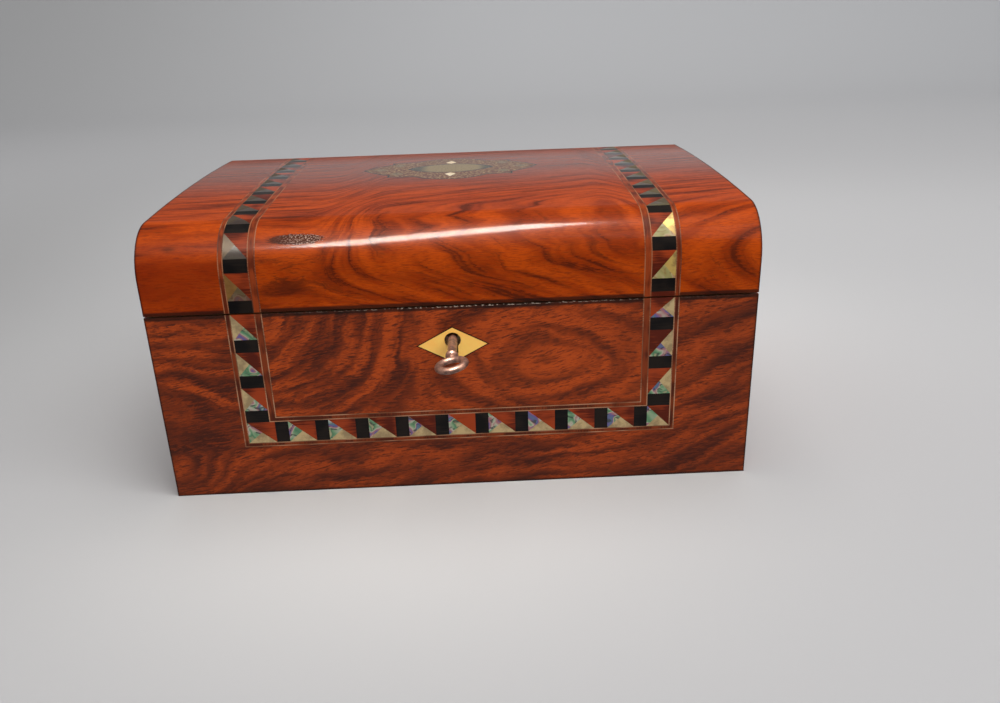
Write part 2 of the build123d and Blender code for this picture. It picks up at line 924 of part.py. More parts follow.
with BuildPart() as cartouche_shell:
    with BuildSketch(cartouche_plane):
        for pearl in pearl_pieces:
            add(pearl)
    extrude(amount=-cartouche_cut)
    add(crown_sheet, mode=Mode.INTERSECT)

with BuildPart() as cartouche_border:
    with BuildSketch(cartouche_plane):
        add(cartouche_outline(0))
        add(cartouche_outline(cartouche_line), mode=Mode.SUBTRACT)
        add(pointed_oval(plate_width + 4 * cartouche_line, plate_height + 2 * cartouche_line))
        add(pointed_oval(plate_width, plate_height), mode=Mode.SUBTRACT)
    extrude(amount=-cartouche_cut)
    add(crown_sheet, mode=Mode.INTERSECT)

with BuildPart() as cartouche_ground:
    with BuildSketch(cartouche_plane):
        add(cartouche_outline(cartouche_line))
        add(pointed_oval(plate_width + 4 * cartouche_line, plate_height + 2 * cartouche_line), mode=Mode.SUBTRACT)
        add(kite(1), mode=Mode.SUBTRACT)
        add(kite(-1), mode=Mode.SUBTRACT)
        for pearl in pearl_pieces:
            add(pearl, mode=Mode.SUBTRACT)
    extrude(amount=-cartouche_cut)
    add(crown_sheet, mode=Mode.INTERSECT)

with BuildPart() as lid_veneer:
    add(lid_sheet(-half_width, -band_finish))
    add(lid_sheet(-band_start, band_start))
    add(lid_sheet(band_finish, half_width))
    with BuildSketch(cartouche_plane):
        add(cartouche_outline(0))
    extrude(amount=-cartouche_cut, mode=Mode.SUBTRACT)
    for x in hinge_centres:
        block(
            (x - hinge_width / 2, x + hinge_width / 2),
            (carcass_y, half_depth),
            (lid_base, lid_base + leaf_thickness),
            mode=Mode.SUBTRACT,
        )

with BuildPart() as lid_stringing:
    for near, far in (
        (band_start, inner_line_edge),
        (inner_string_edge, band_inner_edge),
        (band_outer_edge, outer_string_edge),
        (outer_line_edge, band_finish),
    ):
        for left, right in both_sides(near, far):
            add(lid_sheet(left, right))

with BuildPart() as lid_crossband:
    for near, far in ((inner_line_edge, inner_string_edge), (outer_string_edge, outer_line_edge)):
        for left, right in both_sides(near, far):
            add(lid_sheet(left, right))

# Pattern of the lid's bands: the squares bend over the shoulders, so each is cut by planes
# that stand square to the lid's face


def face_point(x, distance):
    """Point on the lid's outer face."""
    y, z = lid_point(distance, 0)
    return Vector(x, y, z)


def face_normal(distance):
    """Direction out of the lid's face at a distance along its outline."""
    outside = Vector(0, *lid_point(distance, 0))
    inside = Vector(0, *lid_point(distance, veneer))
    return (outside - inside).normalized()


def cut_plane(start, finish, normal, kept):
    """Plane through two points and square to the face, whose front holds the kept point."""
    across = (finish - start).cross(normal)
    if across.dot(kept - start) < 0:
        across = across * -1
    return Plane(origin=start, x_dir=finish - start, z_dir=across)


def lid_piece(outer, inner, start, finish, cuts):
    """Piece of the lid's pattern in a square between two distances, cut by planes."""
    with BuildPart() as piece:
        with BuildSketch(Plane.YZ.offset(min(outer, inner))):
            add(lid_layer(start, finish, 0, veneer))
        extrude(amount=abs(outer - inner))
        for cut in cuts:
            split(bisect_by=cut, keep=Keep.TOP)
    return piece.part


lid_bars = []
lid_redwood = []
lid_brass = []
lid_shell = []
least_square = bar_length / 2
for side, first_bar in ((-1, left_lid_bar), (1, right_lid_bar)):
    outer = side * band_outer_edge
    inner = side * band_inner_edge
    bar_middle = first_bar
    square_start = 0
    while square_start < lid_end - least_square:
        bar_start = max(bar_middle - bar_length / 2, 0)
        bar_finish = min(bar_middle + bar_length / 2, lid_end)
        if bar_start >= lid_end - least_square:
            bar_start = lid_end
        if bar_start - square_start > least_square:
            normal = face_normal((square_start + bar_start) / 2)
            low_outer = face_point(outer, square_start)
            low_inner = face_point(inner, square_start)
            high_outer = face_point(outer, bar_start)
            high_inner = face_point(inner, bar_start)
            centre = face_point((outer + inner) / 2, (square_start + bar_start) / 2)
            upper = cut_plane(high_outer, low_inner, normal, high_inner)
            lower = cut_plane(high_outer, low_inner, normal, low_outer)
            to_brass = cut_plane(low_outer, centre, normal, high_outer)
            to_shell = cut_plane(low_outer, centre, normal, low_inner)
            lid_redwood.append(lid_piece(outer, inner, square_start, bar_start, [upper]))
            lid_brass.append(lid_piece(outer, inner, square_start, bar_start, [lower, to_brass]))
            lid_shell.append(lid_piece(outer, inner, square_start, bar_start, [lower, to_shell]))
        elif bar_start > square_start:
            lid_redwood.append(lid_piece(outer, inner, square_start, bar_start, []))
        if bar_start < lid_end:
            lid_bars.append(lid_piece(outer, inner, bar_start, bar_finish, []))
        square_start = bar_finish if bar_start < lid_end else lid_end
        bar_middle = bar_middle + lid_pitch

with BuildPart() as lid_band_ebony:
    add(lid_bars)

with BuildPart() as lid_band_redwood:
    add(lid_redwood)

with BuildPart() as lid_band_brass:
    add(lid_brass)

with BuildPart() as lid_band_shell:
    add(lid_shell)

# Link plate on the lid's front edge, with a catch hook over each slot of the lock

with BuildPart() as link_plate:
    block(top_plate_limits, (-lock_front, -inner_y), (lid_base, lid_base + top_plate_thickness))
    for place in link_plate_screws:
        with Locations(place):
            add(screw_hole, mode=Mode.SUBTRACT)

with BuildPart() as link_hooks:
    for x in hook_centres:
        with BuildSketch(Plane.YZ.offset(x - hook_thickness / 2)):
            upright_rectangle(hook_front_y, hook_back_y, lid_base - hook_drop, lid_base)
            with Locations(((hook_front_y + hook_front + hook_back_y) / 2, (finger_low + finger_high) / 2)):
                Rectangle(
                    hook_back_y - hook_front_y - hook_front,
                    finger_high - finger_low + 2 * loose,
                    mode=Mode.SUBTRACT,
                )
        extrude(amount=hook_thickness)

# Lining of the base, bearers, and the padded panel in the lid

with BuildPart() as base_lining:
    block((-inner_x, inner_x), (-inner_y, inner_y), (bottom_thickness, lining_height))
    block(
        (cloth - inner_x, inner_x - cloth),
        (cloth - inner_y, inner_y - cloth),
        (bottom_thickness + cloth, lining_height),
        mode=Mode.SUBTRACT,
    )

with BuildPart() as tray_bearers:
    for left, right in both_sides(inner_x - bearer_width, inner_x):
        block((left, right), (-inner_y, inner_y), (lining_height, lining_height + bearer_height))

pad_rim = lid_point(shoulder_end, wall)[1]

with BuildPart() as lid_lining:
    with BuildSketch(Plane.YZ.offset(loose - inner_x)):
        with BuildLine():
            crown_arc = ThreePointArc(
                lid_point(shoulder_end + loose, wall),
                lid_point(lid_middle, wall),
                lid_point(lid_end - shoulder_end - loose, wall),
            )
            right_side = Line(crown_arc @ 1, ((crown_arc @ 1).X, pad_rim - lid_pad_edge))
            belly = ThreePointArc(
                right_side @ 1,
                (0, pad_rim - lid_pad_thickness),
                (-(right_side @ 1).X, (right_side @ 1).Y),
            )
            Line(belly @ 1, crown_arc @ 0)
        make_face()
    extrude(amount=2 * (inner_x - loose))

# Tray

tray_base = lining_height + bearer_height
tray_x = inner_x - tray_gap
tray_y = inner_y - tray_gap
tray_inner_x = tray_x - tray_wall
tray_inner_y = tray_y - tray_wall
tray_floor_top = tray_base + tray_floor_thickness
divider_top = tray_base + tray_height - divider_drop
centre_half = centre_compartment / 2

with BuildPart() as tray_frame:
    with BuildSketch(Plane.XY.offset(tray_base)):
        Rectangle(2 * tray_x, 2 * tray_y)
        Rectangle(2 * tray_inner_x, 2 * tray_inner_y, mode=Mode.SUBTRACT)
    extrude(amount=tray_height)
    chamfer(tray_frame.faces().sort_by(Axis.Z)[-1].edges(), tray_rim_chamfer)

with BuildPart() as tray_floor:
    block((-tray_inner_x, tray_inner_x), (-tray_inner_y, tray_inner_y), (tray_base, tray_floor_top))

side_divisions = 3
long_dividers = both_sides(centre_half, centre_half + divider)
side_depth = (2 * tray_inner_y - (side_divisions - 1) * divider) / side_divisions
compartments = [((-centre_half, centre_half), (-tray_inner_y, tray_inner_y))]
for left, right in both_sides(centre_half + divider, tray_inner_x):
    for place in range(side_divisions):
        start = -tray_inner_y + place * (side_depth + divider)
        compartments.append(((left, right), (start, start + side_depth)))

with BuildPart() as tray_long_dividers:
    for left, right in long_dividers:
        block((left, right), (-tray_inner_y, tray_inner_y), (tray_floor_top, divider_top))

with BuildPart() as tray_cross_dividers:
    for left, right in both_sides(centre_half + divider + running, tray_inner_x):
        for place in range(1, side_divisions):
            start = -tray_inner_y + place * (side_depth + divider) - divider
            block((left, right), (start, start + divider), (tray_floor_top, divider_top - divider_drop))

with BuildPart() as tray_pads:
    for (left, right), (front, back) in compartments:
        block(
            (left + loose, right - loose),
            (front + loose, back - loose),
            (tray_floor_top, tray_floor_top + pad_thickness),
        )

ribbon_top = divider_top - running
ribbon_base = tray_floor_top + pad_thickness + ribbon_thickness

with BuildPart() as tray_ribbons:
    for side in (-1, 1):
        wall_x = side * (tray_inner_x - ribbon_thickness / 2 - running)
        with BuildSketch(Plane.XZ.offset(-ribbon_width / 2)):
            with BuildLine():
                rise = Line((wall_x, ribbon_base), (wall_x, ribbon_top - ribbon_loop / 2))
                over = ThreePointArc(
                    rise @ 1,
                    (wall_x - side * ribbon_loop / 2, ribbon_top - ribbon_thickness / 2),
                    (wall_x - side * ribbon_loop, ribbon_top - ribbon_loop / 2),
                )
                Line(over @ 1, (wall_x - side * 2 * ribbon_thickness, ribbon_base))
                offset(
                    amount=ribbon_thickness / 2, side=Side.BOTH, kind=Kind.INTERSECTION, mode=Mode.REPLACE
                )
            make_face()
        extrude(amount=ribbon_width)

# Names and files

pieces = {
    "bottom_panel": bottom_panel,
    "base_front_board": base_front_board,
    "base_back_board": base_back_board,
    "base_left_board": base_left_board,
    "base_right_board": base_right_board,
    "base_front_veneer": base_front_veneer,
    "base_back_veneer": base_back_veneer,
    "base_left_veneer": base_left_veneer,
    "base_right_veneer": base_right_veneer,
    "base_crossband": base_crossband,
    "base_stringing": base_stringing,
    "base_band_ebony": base_band_ebony,
    "base_band_redwood": base_band_redwood,
    "base_band_brass": base_band_brass,
    "base_band_shell": base_band_shell,
    "escutcheon": escutcheon,
    "lock_plate": lock_plate,
    "lock_cap": lock_cap,
    "lock_pin": lock_pin,
    "lock_bolt": lock_bolt,
    "bolt_studs": bolt_studs,
    "bolt_spring": bolt_spring,
    "key": key,
    "left_hinge_base_leaf": base_leaves[0],
    "right_hinge_base_leaf": base_leaves[1],
    "left_hinge_lid_leaf": lid_leaves[0],
    "right_hinge_lid_leaf": lid_leaves[1],
    "hinge_pins": hinge_pins,
    "base_screws": base_screws,
    "lid_screws": lid_screws,
    "lid_front_rail": lid_front_rail,
    "lid_back_rail": lid_back_rail,
    "lid_top_board": lid_top_board,
    "lid_left_end": lid_left_end,
    "lid_right_end": lid_right_end,
    "lid_left_veneer": lid_left_veneer,
    "lid_right_veneer": lid_right_veneer,
    "lid_veneer": lid_veneer,
    "lid_stringing": lid_stringing,
    "lid_crossband": lid_crossband,
    "lid_band_ebony": lid_band_ebony,
    "lid_band_redwood": lid_band_redwood,
    "lid_band_brass": lid_band_brass,
    "lid_band_shell": lid_band_shell,
    "cartouche_border": cartouche_border,
    "cartouche_ground": cartouche_ground,
    "cartouche_plate": cartouche_plate,
    "cartouche_kites": cartouche_kites,
    "cartouche_shell": cartouche_shell,
    "link_plate": link_plate,
    "link_hooks": link_hooks,
    "lid_lining": lid_lining,
    "base_lining": base_lining,
    "tray_bearers": tray_bearers,
    "tray_frame": tray_frame,
    "tray_floor": tray_floor,
    "tray_long_dividers": tray_long_dividers,
    "tray_cross_dividers": tray_cross_dividers,
    "tray_pads": tray_pads,
    "tray_ribbons": tray_ribbons,
}

for name, piece in pieces.items():
    piece.part.label = name
    export_step(piece.part, f"parts/{name}.step")
print(len(pieces), "pieces written")
print("lid top", round(lid_top, 2), "hinge axis", round(hinge_y, 2), round(hinge_z, 2))
print("bolt per turn", bolt_travel, "key axis", lock_x, key_height)
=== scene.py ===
# %% [markdown]
# # A veneered box with a domed lid
# The real box is a Victorian one: rosewood veneer over plain boards, bands of ebony, shell, brass
# and redwood let into the veneer, a cartouche on the lid, and a small brass lock with its key.
# The packed model gives every piece its size and place, so this lesson dresses it, and makes only
# the key and the soft pieces anew.

# %% Load the model
import math

import bmesh
import bpy
from mathutils import Matrix, Vector, noise


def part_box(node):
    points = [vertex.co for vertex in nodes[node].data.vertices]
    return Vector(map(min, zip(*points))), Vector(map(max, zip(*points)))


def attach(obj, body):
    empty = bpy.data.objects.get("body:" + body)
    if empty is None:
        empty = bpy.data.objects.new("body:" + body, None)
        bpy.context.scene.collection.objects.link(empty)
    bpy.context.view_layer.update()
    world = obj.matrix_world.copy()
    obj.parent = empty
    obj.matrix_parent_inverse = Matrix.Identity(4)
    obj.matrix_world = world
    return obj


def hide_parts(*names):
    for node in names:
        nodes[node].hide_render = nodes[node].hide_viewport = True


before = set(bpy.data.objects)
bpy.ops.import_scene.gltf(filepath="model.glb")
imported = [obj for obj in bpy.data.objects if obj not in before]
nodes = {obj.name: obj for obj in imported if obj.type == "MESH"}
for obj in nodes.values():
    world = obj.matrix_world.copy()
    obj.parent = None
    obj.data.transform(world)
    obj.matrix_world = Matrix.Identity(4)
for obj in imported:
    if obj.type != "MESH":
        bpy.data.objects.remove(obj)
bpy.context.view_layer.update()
print("pieces in the model:", len(nodes))

# %% [markdown]
# ## Camera
# A photograph can be matched by eye, but straight edges allow better: the corners of the box and
# the ends of its bands were lined up with the picture by least squares. That gave the place of
# the camera, three turns and the focal length, which are written here as they came out.

# %% Set the camera
camera_place = Vector((0.0122069, -0.4763516, 0.2237048))
pitch, yaw, roll = 0.3895, -0.0222, -0.0332
focal_pixels, picture_width, sensor_width = 870.535, 1000, 36.0

turn = Matrix.Rotation(yaw, 3, "Z")
level_up = Vector((0, math.sin(pitch), math.cos(pitch)))
across = Vector((1, 0, 0))
forward = turn @ Vector((0, math.cos(pitch), -math.sin(pitch)))
right = turn @ (math.cos(roll) * across + math.sin(roll) * level_up)
upward = turn @ (math.cos(roll) * level_up - math.sin(roll) * across)

camera_data = bpy.data.cameras.new("camera")
camera_data.sensor_width = sensor_width
camera_data.lens = focal_pixels / picture_width * sensor_width
camera = bpy.data.objects.new("camera", camera_data)
bpy.context.scene.collection.objects.link(camera)
turned = Matrix((right, upward, -forward)).transposed()
camera.matrix_world = Matrix.Translation(camera_place) @ turned.to_4x4()
bpy.context.scene.camera = camera
bpy.context.scene.view_settings.view_transform = "Standard"
print("lens in millimetres:", round(camera_data.lens, 2))

# %% [markdown]
# ## Sums on sockets
# A material is easier to read as an expression than as a list of nodes and links. This class
# holds one output socket, and each sum, difference or product with it adds one Math node. The
# reflected forms let a plain number stand on the left, as in 1 - mask, or e raised to a wire.

# %% A socket that can be added and multiplied
class Wire:
    """An output socket of a node, which arithmetic can be done on."""

    def __init__(self, tree, socket):
        self.tree = tree
        self.socket = socket

    def maths(self, operation, *values):
        node = self.tree.nodes.new("ShaderNodeMath")
        node.operation = operation
        feed(self.tree, node, dict(enumerate(values)))
        return Wire(self.tree, node.outputs[0])

    def __add__(self, other):
        return self.maths("ADD", self, other)

    def __radd__(self, other):
        return self.maths("ADD", other, self)

    def __sub__(self, other):
        return self.maths("SUBTRACT", self, other)

    def __rsub__(self, other):
        return self.maths("SUBTRACT", other, self)

    def __mul__(self, other):
        return self.maths("MULTIPLY", self, other)

    def __rmul__(self, other):
        return self.maths("MULTIPLY", other, self)

    def __truediv__(self, other):
        return self.maths("DIVIDE", self, other)

    def __rtruediv__(self, other):
        return self.maths("DIVIDE", other, self)

    def __pow__(self, other):
        return self.maths("POWER", self, other)

    def __rpow__(self, other):
        return self.maths("POWER", other, self)

    def __abs__(self):
        return self.maths("ABSOLUTE", self)

    def above(self, other):
        """The larger of two values."""
        return self.maths("MAXIMUM", self, other)


def feed(tree, node, inputs):
    """Gives a node's sockets their values or links."""
    for key, value in inputs.items():
        if isinstance(value, Wire):
            tree.links.new(value.socket, node.inputs[key])
        else:
            node.inputs[key].default_value = value


print("made:", Wire.__doc__)

# %% [markdown]
# ## A finish
# Every finish on the box is one material. This class starts it, adds any node by its type, its
# settings and its sockets, and gives short names to the few that the finishes share: a noise, a
# soft step, a mix of two colours, a smooth hill, and the place on the box in millimetres.

# %% A material that is written as expressions
MIX_FACTOR, MIX_FIRST, MIX_SECOND, MIX_RESULT = 0, 6, 7, 2


def opaque(colour):
    """A colour with full alpha, or the wire that carries one."""
    return colour if isinstance(colour, Wire) else (*colour, 1.0)


class Finish:
    """One material of the box."""

    def __init__(self, name, fixed):
        self.material = bpy.data.materials.new(name)
        self.material.use_nodes = True
        self.tree = self.material.node_tree
        self.surface = self.tree.nodes["Principled BSDF"]
        feed(self.tree, self.surface, fixed)

    def node(self, kind, settings, inputs, output=0):
        """Adds any node: its settings first, then its sockets."""
        made = self.tree.nodes.new(kind)
        for key, value in settings.items():
            if key == "stops":
                points = made.color_ramp.elements
                while len(points) < len(value):
                    points.new(1.0)
                for point, (place, colour) in zip(points, value):
                    point.position = place
                    point.color = opaque(colour)
            else:
                setattr(made, key, value)
        feed(self.tree, made, inputs)
        return Wire(self.tree, made.outputs[output])

    def surface_from(self, **wires):
        """Links wires to the surface's sockets, with spaces written as underscores."""
        inputs = {name.replace("_", " "): wire for name, wire in wires.items()}
        feed(self.tree, self.surface, inputs)

    def place(self):
        """The place on the box in millimetres, as three wires."""
        point = self.node("ShaderNodeTexCoord", {}, {}, "Object")
        sockets = {0: point, "Scale": 1000.0}
        scaled = self.node("ShaderNodeVectorMath", {"operation": "SCALE"}, sockets)
        return [self.node("ShaderNodeSeparateXYZ", {}, {0: scaled}, axis) for axis in "XYZ"]

    def noise(self, x, y, z, detail=2.0, roughness=0.5, distortion=0.0):
        """Soft noise from 0 to 1 with a grain of about one unit."""
        point = self.node("ShaderNodeCombineXYZ", {}, {"X": x, "Y": y, "Z": z})
        sockets = {
            "Vector": point, "Scale": 1.0, "Detail": detail, "Roughness": roughness,
            "Distortion": distortion,
        }
        return self.node("ShaderNodeTexNoise", {}, sockets)

    def soft_step(self, value, low, high):
        """0 below low, 1 above high, and smooth between; low may be the larger."""
        sockets = {"Value": value, "From Min": low, "From Max": high}
        return self.node("ShaderNodeMapRange", {"interpolation_type": "SMOOTHSTEP"}, sockets)

    def mix(self, factor, first, second):
        """The first colour where factor is 0, the second where it is 1."""
        sockets = {MIX_FACTOR: factor, MIX_FIRST: opaque(first), MIX_SECOND: opaque(second)}
        return self.node("ShaderNodeMix", {"data_type": "RGBA"}, sockets, MIX_RESULT)

    def hill(self, along, over, middle, reach):
        """A smooth hill: 1 at its middle, and almost 0 from twice its reach outwards."""
        first = (along - middle[0]) / reach[0]
        second = (over - middle[1]) / reach[1]
        return math.e ** ((first * first + second * second) * -1.0)

    def bump(self, height, depth_mm, strength):
        """Normals from a height, whose full range is a depth in millimetres."""
        sockets = {"Height": height, "Distance": depth_mm / 1000, "Strength": strength}
        return self.node("ShaderNodeBump", {}, sockets)


def dress(finish, *names):
    """Gives nodes of the model a finish."""
    for name in names:
        mesh = nodes[name].data
        mesh.materials.clear()
        mesh.materials.append(finish.material)
    print(finish.material.name, "on", len(names), "nodes")


print("made:", Finish.__doc__)

# %% [markdown]
# ## Rosewood
# The veneer is one wood in two moods: orange-red on the lid, and darker with swirling figure on
# the base. A picture of wood would slide over the rounded shoulder, so the wood is worked out
# from the place on the box, as two things that cross each other. The fibres and pores run nearly
# level. The growth rings are where one number, the figure, stays the same, and that number is
# bent into arcs, points and rings. Each ring's edge is shifted a little by the fibres, which
# gives the feathered edges of the real wood.

# %% Make rosewood
POLISH = {"Coat Weight": 1.0, "Coat Roughness": 0.14, "Coat IOR": 1.13, "Specular IOR Level": 0.04}
LID_POLISH = {"Coat Roughness": 0.11, "Coat IOR": 1.35, "Specular IOR Level": 0.015}


class Rosewood(Finish):
    """French-polished rosewood, made in steps: fibres, then the figure, then the tones."""

    def __init__(self, name, along_axis, across_axes, seed, slant, polish=POLISH):
        super().__init__(name, polish)
        self.seed = seed
        self.spot = dict(zip("XYZ", self.place()))
        self.along = self.spot[along_axis]
        self.over = self.spot[across_axes[0]]
        for axis in across_axes[1:]:
            self.over = self.over + self.spot[axis]
        wave = self.noise(self.along / 50, self.over / 26, seed, 2.0) - 0.5
        line = self.over - self.along * slant + wave * 9.0
        self.fibre = self.noise(self.along / 4.6, line / 0.80, seed + 17.9, 3.0, 0.66)
        pores = self.noise(self.along / 5.0, line / 0.42, seed + 23.1, 1.0)
        self.pore = self.soft_step(pores, 0.55, 0.68)
        self.figure = self.over

    def lift(self, middle, reach, amount):
        """Bends the figure over one hill."""
        self.figure = self.figure + self.hill(self.along, self.over, middle, reach) * amount

    def tones(self, light, middle, dark, ring_mm, level, swirl, feather, ring_amount, fibre_amount):
        """Colour from broad rings of light, middle and dark tone, and from fibres and pores."""
        along, over, seed = self.along, self.over, self.seed
        slow = self.noise(along / 62, over / 36, seed + 5.1, 2.0) - 0.5
        crinkle = self.noise(along / 13, over / 9, seed + 3.7, 3.0) - 0.5
        rings = self.figure + slow * swirl + crinkle * (feather * 0.8)
        rings = rings + (self.fibre - 0.5) * feather
        bands = self.noise(rings / ring_mm, along / 60, over / 60 + seed, 4.0, 0.66)
        clouds = self.noise(rings / (ring_mm * 3.2), along / 45, over / 30 + seed, 2.0)
        glow = self.soft_step(clouds + (self.fibre - 0.5) * 0.9, 0.36, 0.62)
        patchy = bands - (clouds - 0.5) * 0.6 + (self.fibre - 0.5) * 0.25
        self.ring = self.soft_step(patchy, level, level + 0.20)
        fibre = self.soft_step(self.fibre - (clouds - 0.5) * 0.3, 0.44, 0.62)
        bare = (1 - self.ring * ring_amount) * (1 - fibre * fibre_amount) * (1 - self.pore * 0.35)
        self.colour = self.mix(bare, dark, self.mix(glow, middle, light))

    def darken(self, mask, colour=(0.012, 0.006, 0.004)):
        """Lays a darker colour where a mask says so."""
        self.colour = self.mix(mask, self.colour, colour)

    def polish(self, wear=0.0, **more):
        """Sends the colour, the polish and the relief of the grain to the surface."""
        self.surface_from(
            Base_Color=self.colour,
            Roughness=0.36 + self.ring * 0.08 + self.pore * 0.12 + wear,
            Normal=self.bump(self.pore * -0.6 + self.fibre * 0.4, 0.03, 0.35),
            **more,
        )


def lid_gloss(finish, over):
    """Coat Weight for the lid, whose top has kept more polish than its front and shoulders."""
    on_top = finish.soft_step(over, 80.0, 150.0) * finish.soft_step(over, 215.0, 175.0)
    return on_top * 0.66 + 0.11


print("made:", Rosewood.__doc__)

# %% [markdown]
# The lid's veneer shows a flame: rings that run in nested points to the left, on the middle of
# the lid near the front shoulder, with zigzag sides. Folding the figure about one level makes it
# the same above and below, and a slope along the grain then turns level rings into nested points.
# A saw-toothed wave across the grain, only near the flame, gives the zigzag.

# %% Veneer the lid
box_side, joint_level = 140.0, 93.8
flame_level, flame_width, flame_fold = 38.0, 34.0, 1.4
flame_start, flame_slope, tooth_mm, tooth_depth = -58.0, 0.30, 9.0, 0.34
lid_tones = ((0.46, 0.060, 0.003), (0.285, 0.031, 0.002), (0.042, 0.008, 0.003))
edge_start, edge_end = 1.2, 0.1

lid_wood = Rosewood("lid_rosewood", "X", "YZ", seed=2.3, slant=0.0, polish=LID_POLISH)
x, over = lid_wood.along, lid_wood.over
offset = over - flame_level
folded = (offset ** 4.0 + flame_width ** 4) ** 0.25 * flame_fold
sway = lid_wood.noise(x / 34, over / 30, 33.0, 1.0) * 16.0
teeth = (over + sway).maths("PINGPONG", over + sway, tooth_mm)
near_flame = lid_wood.hill(x, over, (16, 28), (58, 44))
run = (x - flame_start).above(0.0)
plain_left = lid_wood.soft_step(x, -30, -66) * 0.6
plain_right = lid_wood.soft_step(x, 70, 100) * 0.5
plain_side = plain_left + plain_right
flame = folded + teeth * near_flame * tooth_depth - run * flame_slope
lid_wood.figure = flame + over * plain_side
lid_wood.tones(
    *lid_tones, ring_mm=1.25, level=0.52, swirl=4.0, feather=1.5,
    ring_amount=0.66, fibre_amount=0.34,
)

scuff = lid_wood.hill(x, over, (-69.0, 30.4), (15.0, 4.6))
scratch = lid_wood.noise(x / 2.4, over / 0.6, 5.0, 3.0)
scuff_mask = lid_wood.soft_step(scuff * 0.75 + scratch * 0.5, 0.56, 0.70)
glints = lid_wood.noise(x / 0.9, over / 0.7, 15.0, 1.0)
glint_side = lid_wood.soft_step(x, -80, -66)
dent = lid_wood.hill(x, over, (-125.2, 26.5), (3.2, 2.0))
# painted shade along the lid's end corners and along its lip above the joint
edge = lid_wood.soft_step(abs(x), box_side - edge_start, box_side - edge_end)
lip = lid_wood.soft_step(lid_wood.spot["Z"], joint_level + 2.2, joint_level + 1.1)
# painted shade: the back of the lid's top is laid darker
back = lid_wood.soft_step(over, 58, 150)
lid_wood.darken(back * 0.50, (0.09, 0.030, 0.018))
deep_end = lid_wood.soft_step(x, -88, -118) * lid_wood.soft_step(over, 45, 5)
lid_wood.darken(deep_end * 0.40, (0.20, 0.010, 0.001))
lid_wood.darken(scuff_mask * 0.85, (0.035, 0.016, 0.011))
glinting = scuff_mask * glint_side * lid_wood.soft_step(glints, 0.54, 0.60)
lid_wood.darken(glinting * 0.8, (0.50, 0.33, 0.25))
lid_wood.darken(dent * 0.5)
# painted shade: the end corners and the lip laid darker
lid_wood.darken(edge.above(lip) * 0.85)
lid_wood.polish(scuff_mask * 0.3, Coat_Weight=lid_gloss(lid_wood, over))
dress(lid_wood, "lid_veneer")

# %% [markdown]
# The lid's ends have the same leaf without the flame. They could share the lid's material, but
# its grain runs along the length of the box and would end in dots there, so the ends get their
# own, with the grain along the depth and one low hill in the rings towards the back.

# %% Veneer the ends of the lid
lid_end_wood = Rosewood("lid_end_rosewood", "Y", "Z", seed=5.1, slant=0.03)
lid_end_wood.lift((30, 112), (50, 18), 9.0)
lid_end_wood.tones(
    *lid_tones, ring_mm=2.6, level=0.52, swirl=12.0, feather=3.5,
    ring_amount=0.60, fibre_amount=0.36,
)
lid_end_wood.polish()
dress(lid_end_wood, "lid_left_veneer", "lid_right_veneer")

# %% [markdown]
# The base is veneered with a darker leaf. In its panel the rings arc round the upper left corner,
# climb steeply beside the keyhole, and close round a point on the right. Outside the panel, which
# the inlay frames, they lie level, but close into rings low on the left.

# %% Veneer the base
base_top = 93.0
lock_middle, escutcheon_half = (-1.2, 74.1), (16.0, 8.5)
base_tones = ((0.42, 0.063, 0.010), (0.20, 0.030, 0.007), (0.028, 0.010, 0.007))
base_grain = dict(
    ring_mm=1.9, level=0.46, swirl=20.0, feather=7.0, ring_amount=0.46, fibre_amount=0.72
)
left_arcs, right_arcs, arcs_apart = (-95.0, 92.0), (42.0, 65.0), 120.0

base_wood = Rosewood("base_rosewood", "X", "Z", seed=9.4, slant=0.16)
x, z = base_wood.along, base_wood.over
front = base_wood.soft_step(base_wood.spot["Y"], 1.0, -1.0)
from_left, above_left = x - left_arcs[0], (z - left_arcs[1]) * 1.25
from_right, above_right = (x - right_arcs[0]) / 2.1, z - right_arcs[1]
left_figure = (from_left * from_left + above_left * above_left) ** 0.5
right_figure = arcs_apart - (from_right * from_right + above_right * above_right) ** 0.5
turn_over = base_wood.soft_step(x, -44, 8)
panel_figure = left_figure + (right_figure - left_figure) * turn_over
in_panel = base_wood.soft_step(abs(x), 102, 92) * base_wood.soft_step(z, 33, 40) * front
base_wood.figure = z - x * 0.12 - (x - 96.0).above(0.0) * 0.30
base_wood.lift((-136, 10), (25, 17), 27.0)
base_wood.lift((-139, 54), (24, 20), -18.0)
base_wood.figure = base_wood.figure + (panel_figure - base_wood.figure) * in_panel
base_wood.tones(*base_tones, **base_grain)
bright_eye = base_wood.hill(x, z, (40, 62), (34, 15)).above(base_wood.hill(x, z, (84, 47), (14, 8)))
base_wood.darken(bright_eye * (0.75 - base_wood.fibre) * front, (0.50, 0.080, 0.012))
base_wood.darken(base_wood.hill(x, z, (80, 72), (9, 17)) * front * 0.35, (0.06, 0.014, 0.007))
# painted shade towards the bottom of the base; the base is also laid darker towards its right end
low_shade_and_dark_end = base_wood.soft_step(z, 44, 0).above(base_wood.soft_step(x, 84, 140))
base_wood.darken(low_shade_and_dark_end * 0.30, (0.05, 0.014, 0.008))
# painted shade along the end corners, the foot and the top edge at the joint
side_edge = base_wood.soft_step(abs(x), box_side - edge_start, box_side - edge_end)
foot_edge = base_wood.soft_step(z, 1.5, 0.3)
top_edge = base_wood.soft_step(z, base_top - 2.1, base_top - 1.1)
beside_lock, above_lock = abs(x - lock_middle[0]), abs(z - lock_middle[1])
outline = beside_lock / escutcheon_half[0] + above_lock / escutcheon_half[1]
glue_line = base_wood.soft_step(outline, 1.10, 1.04) * front
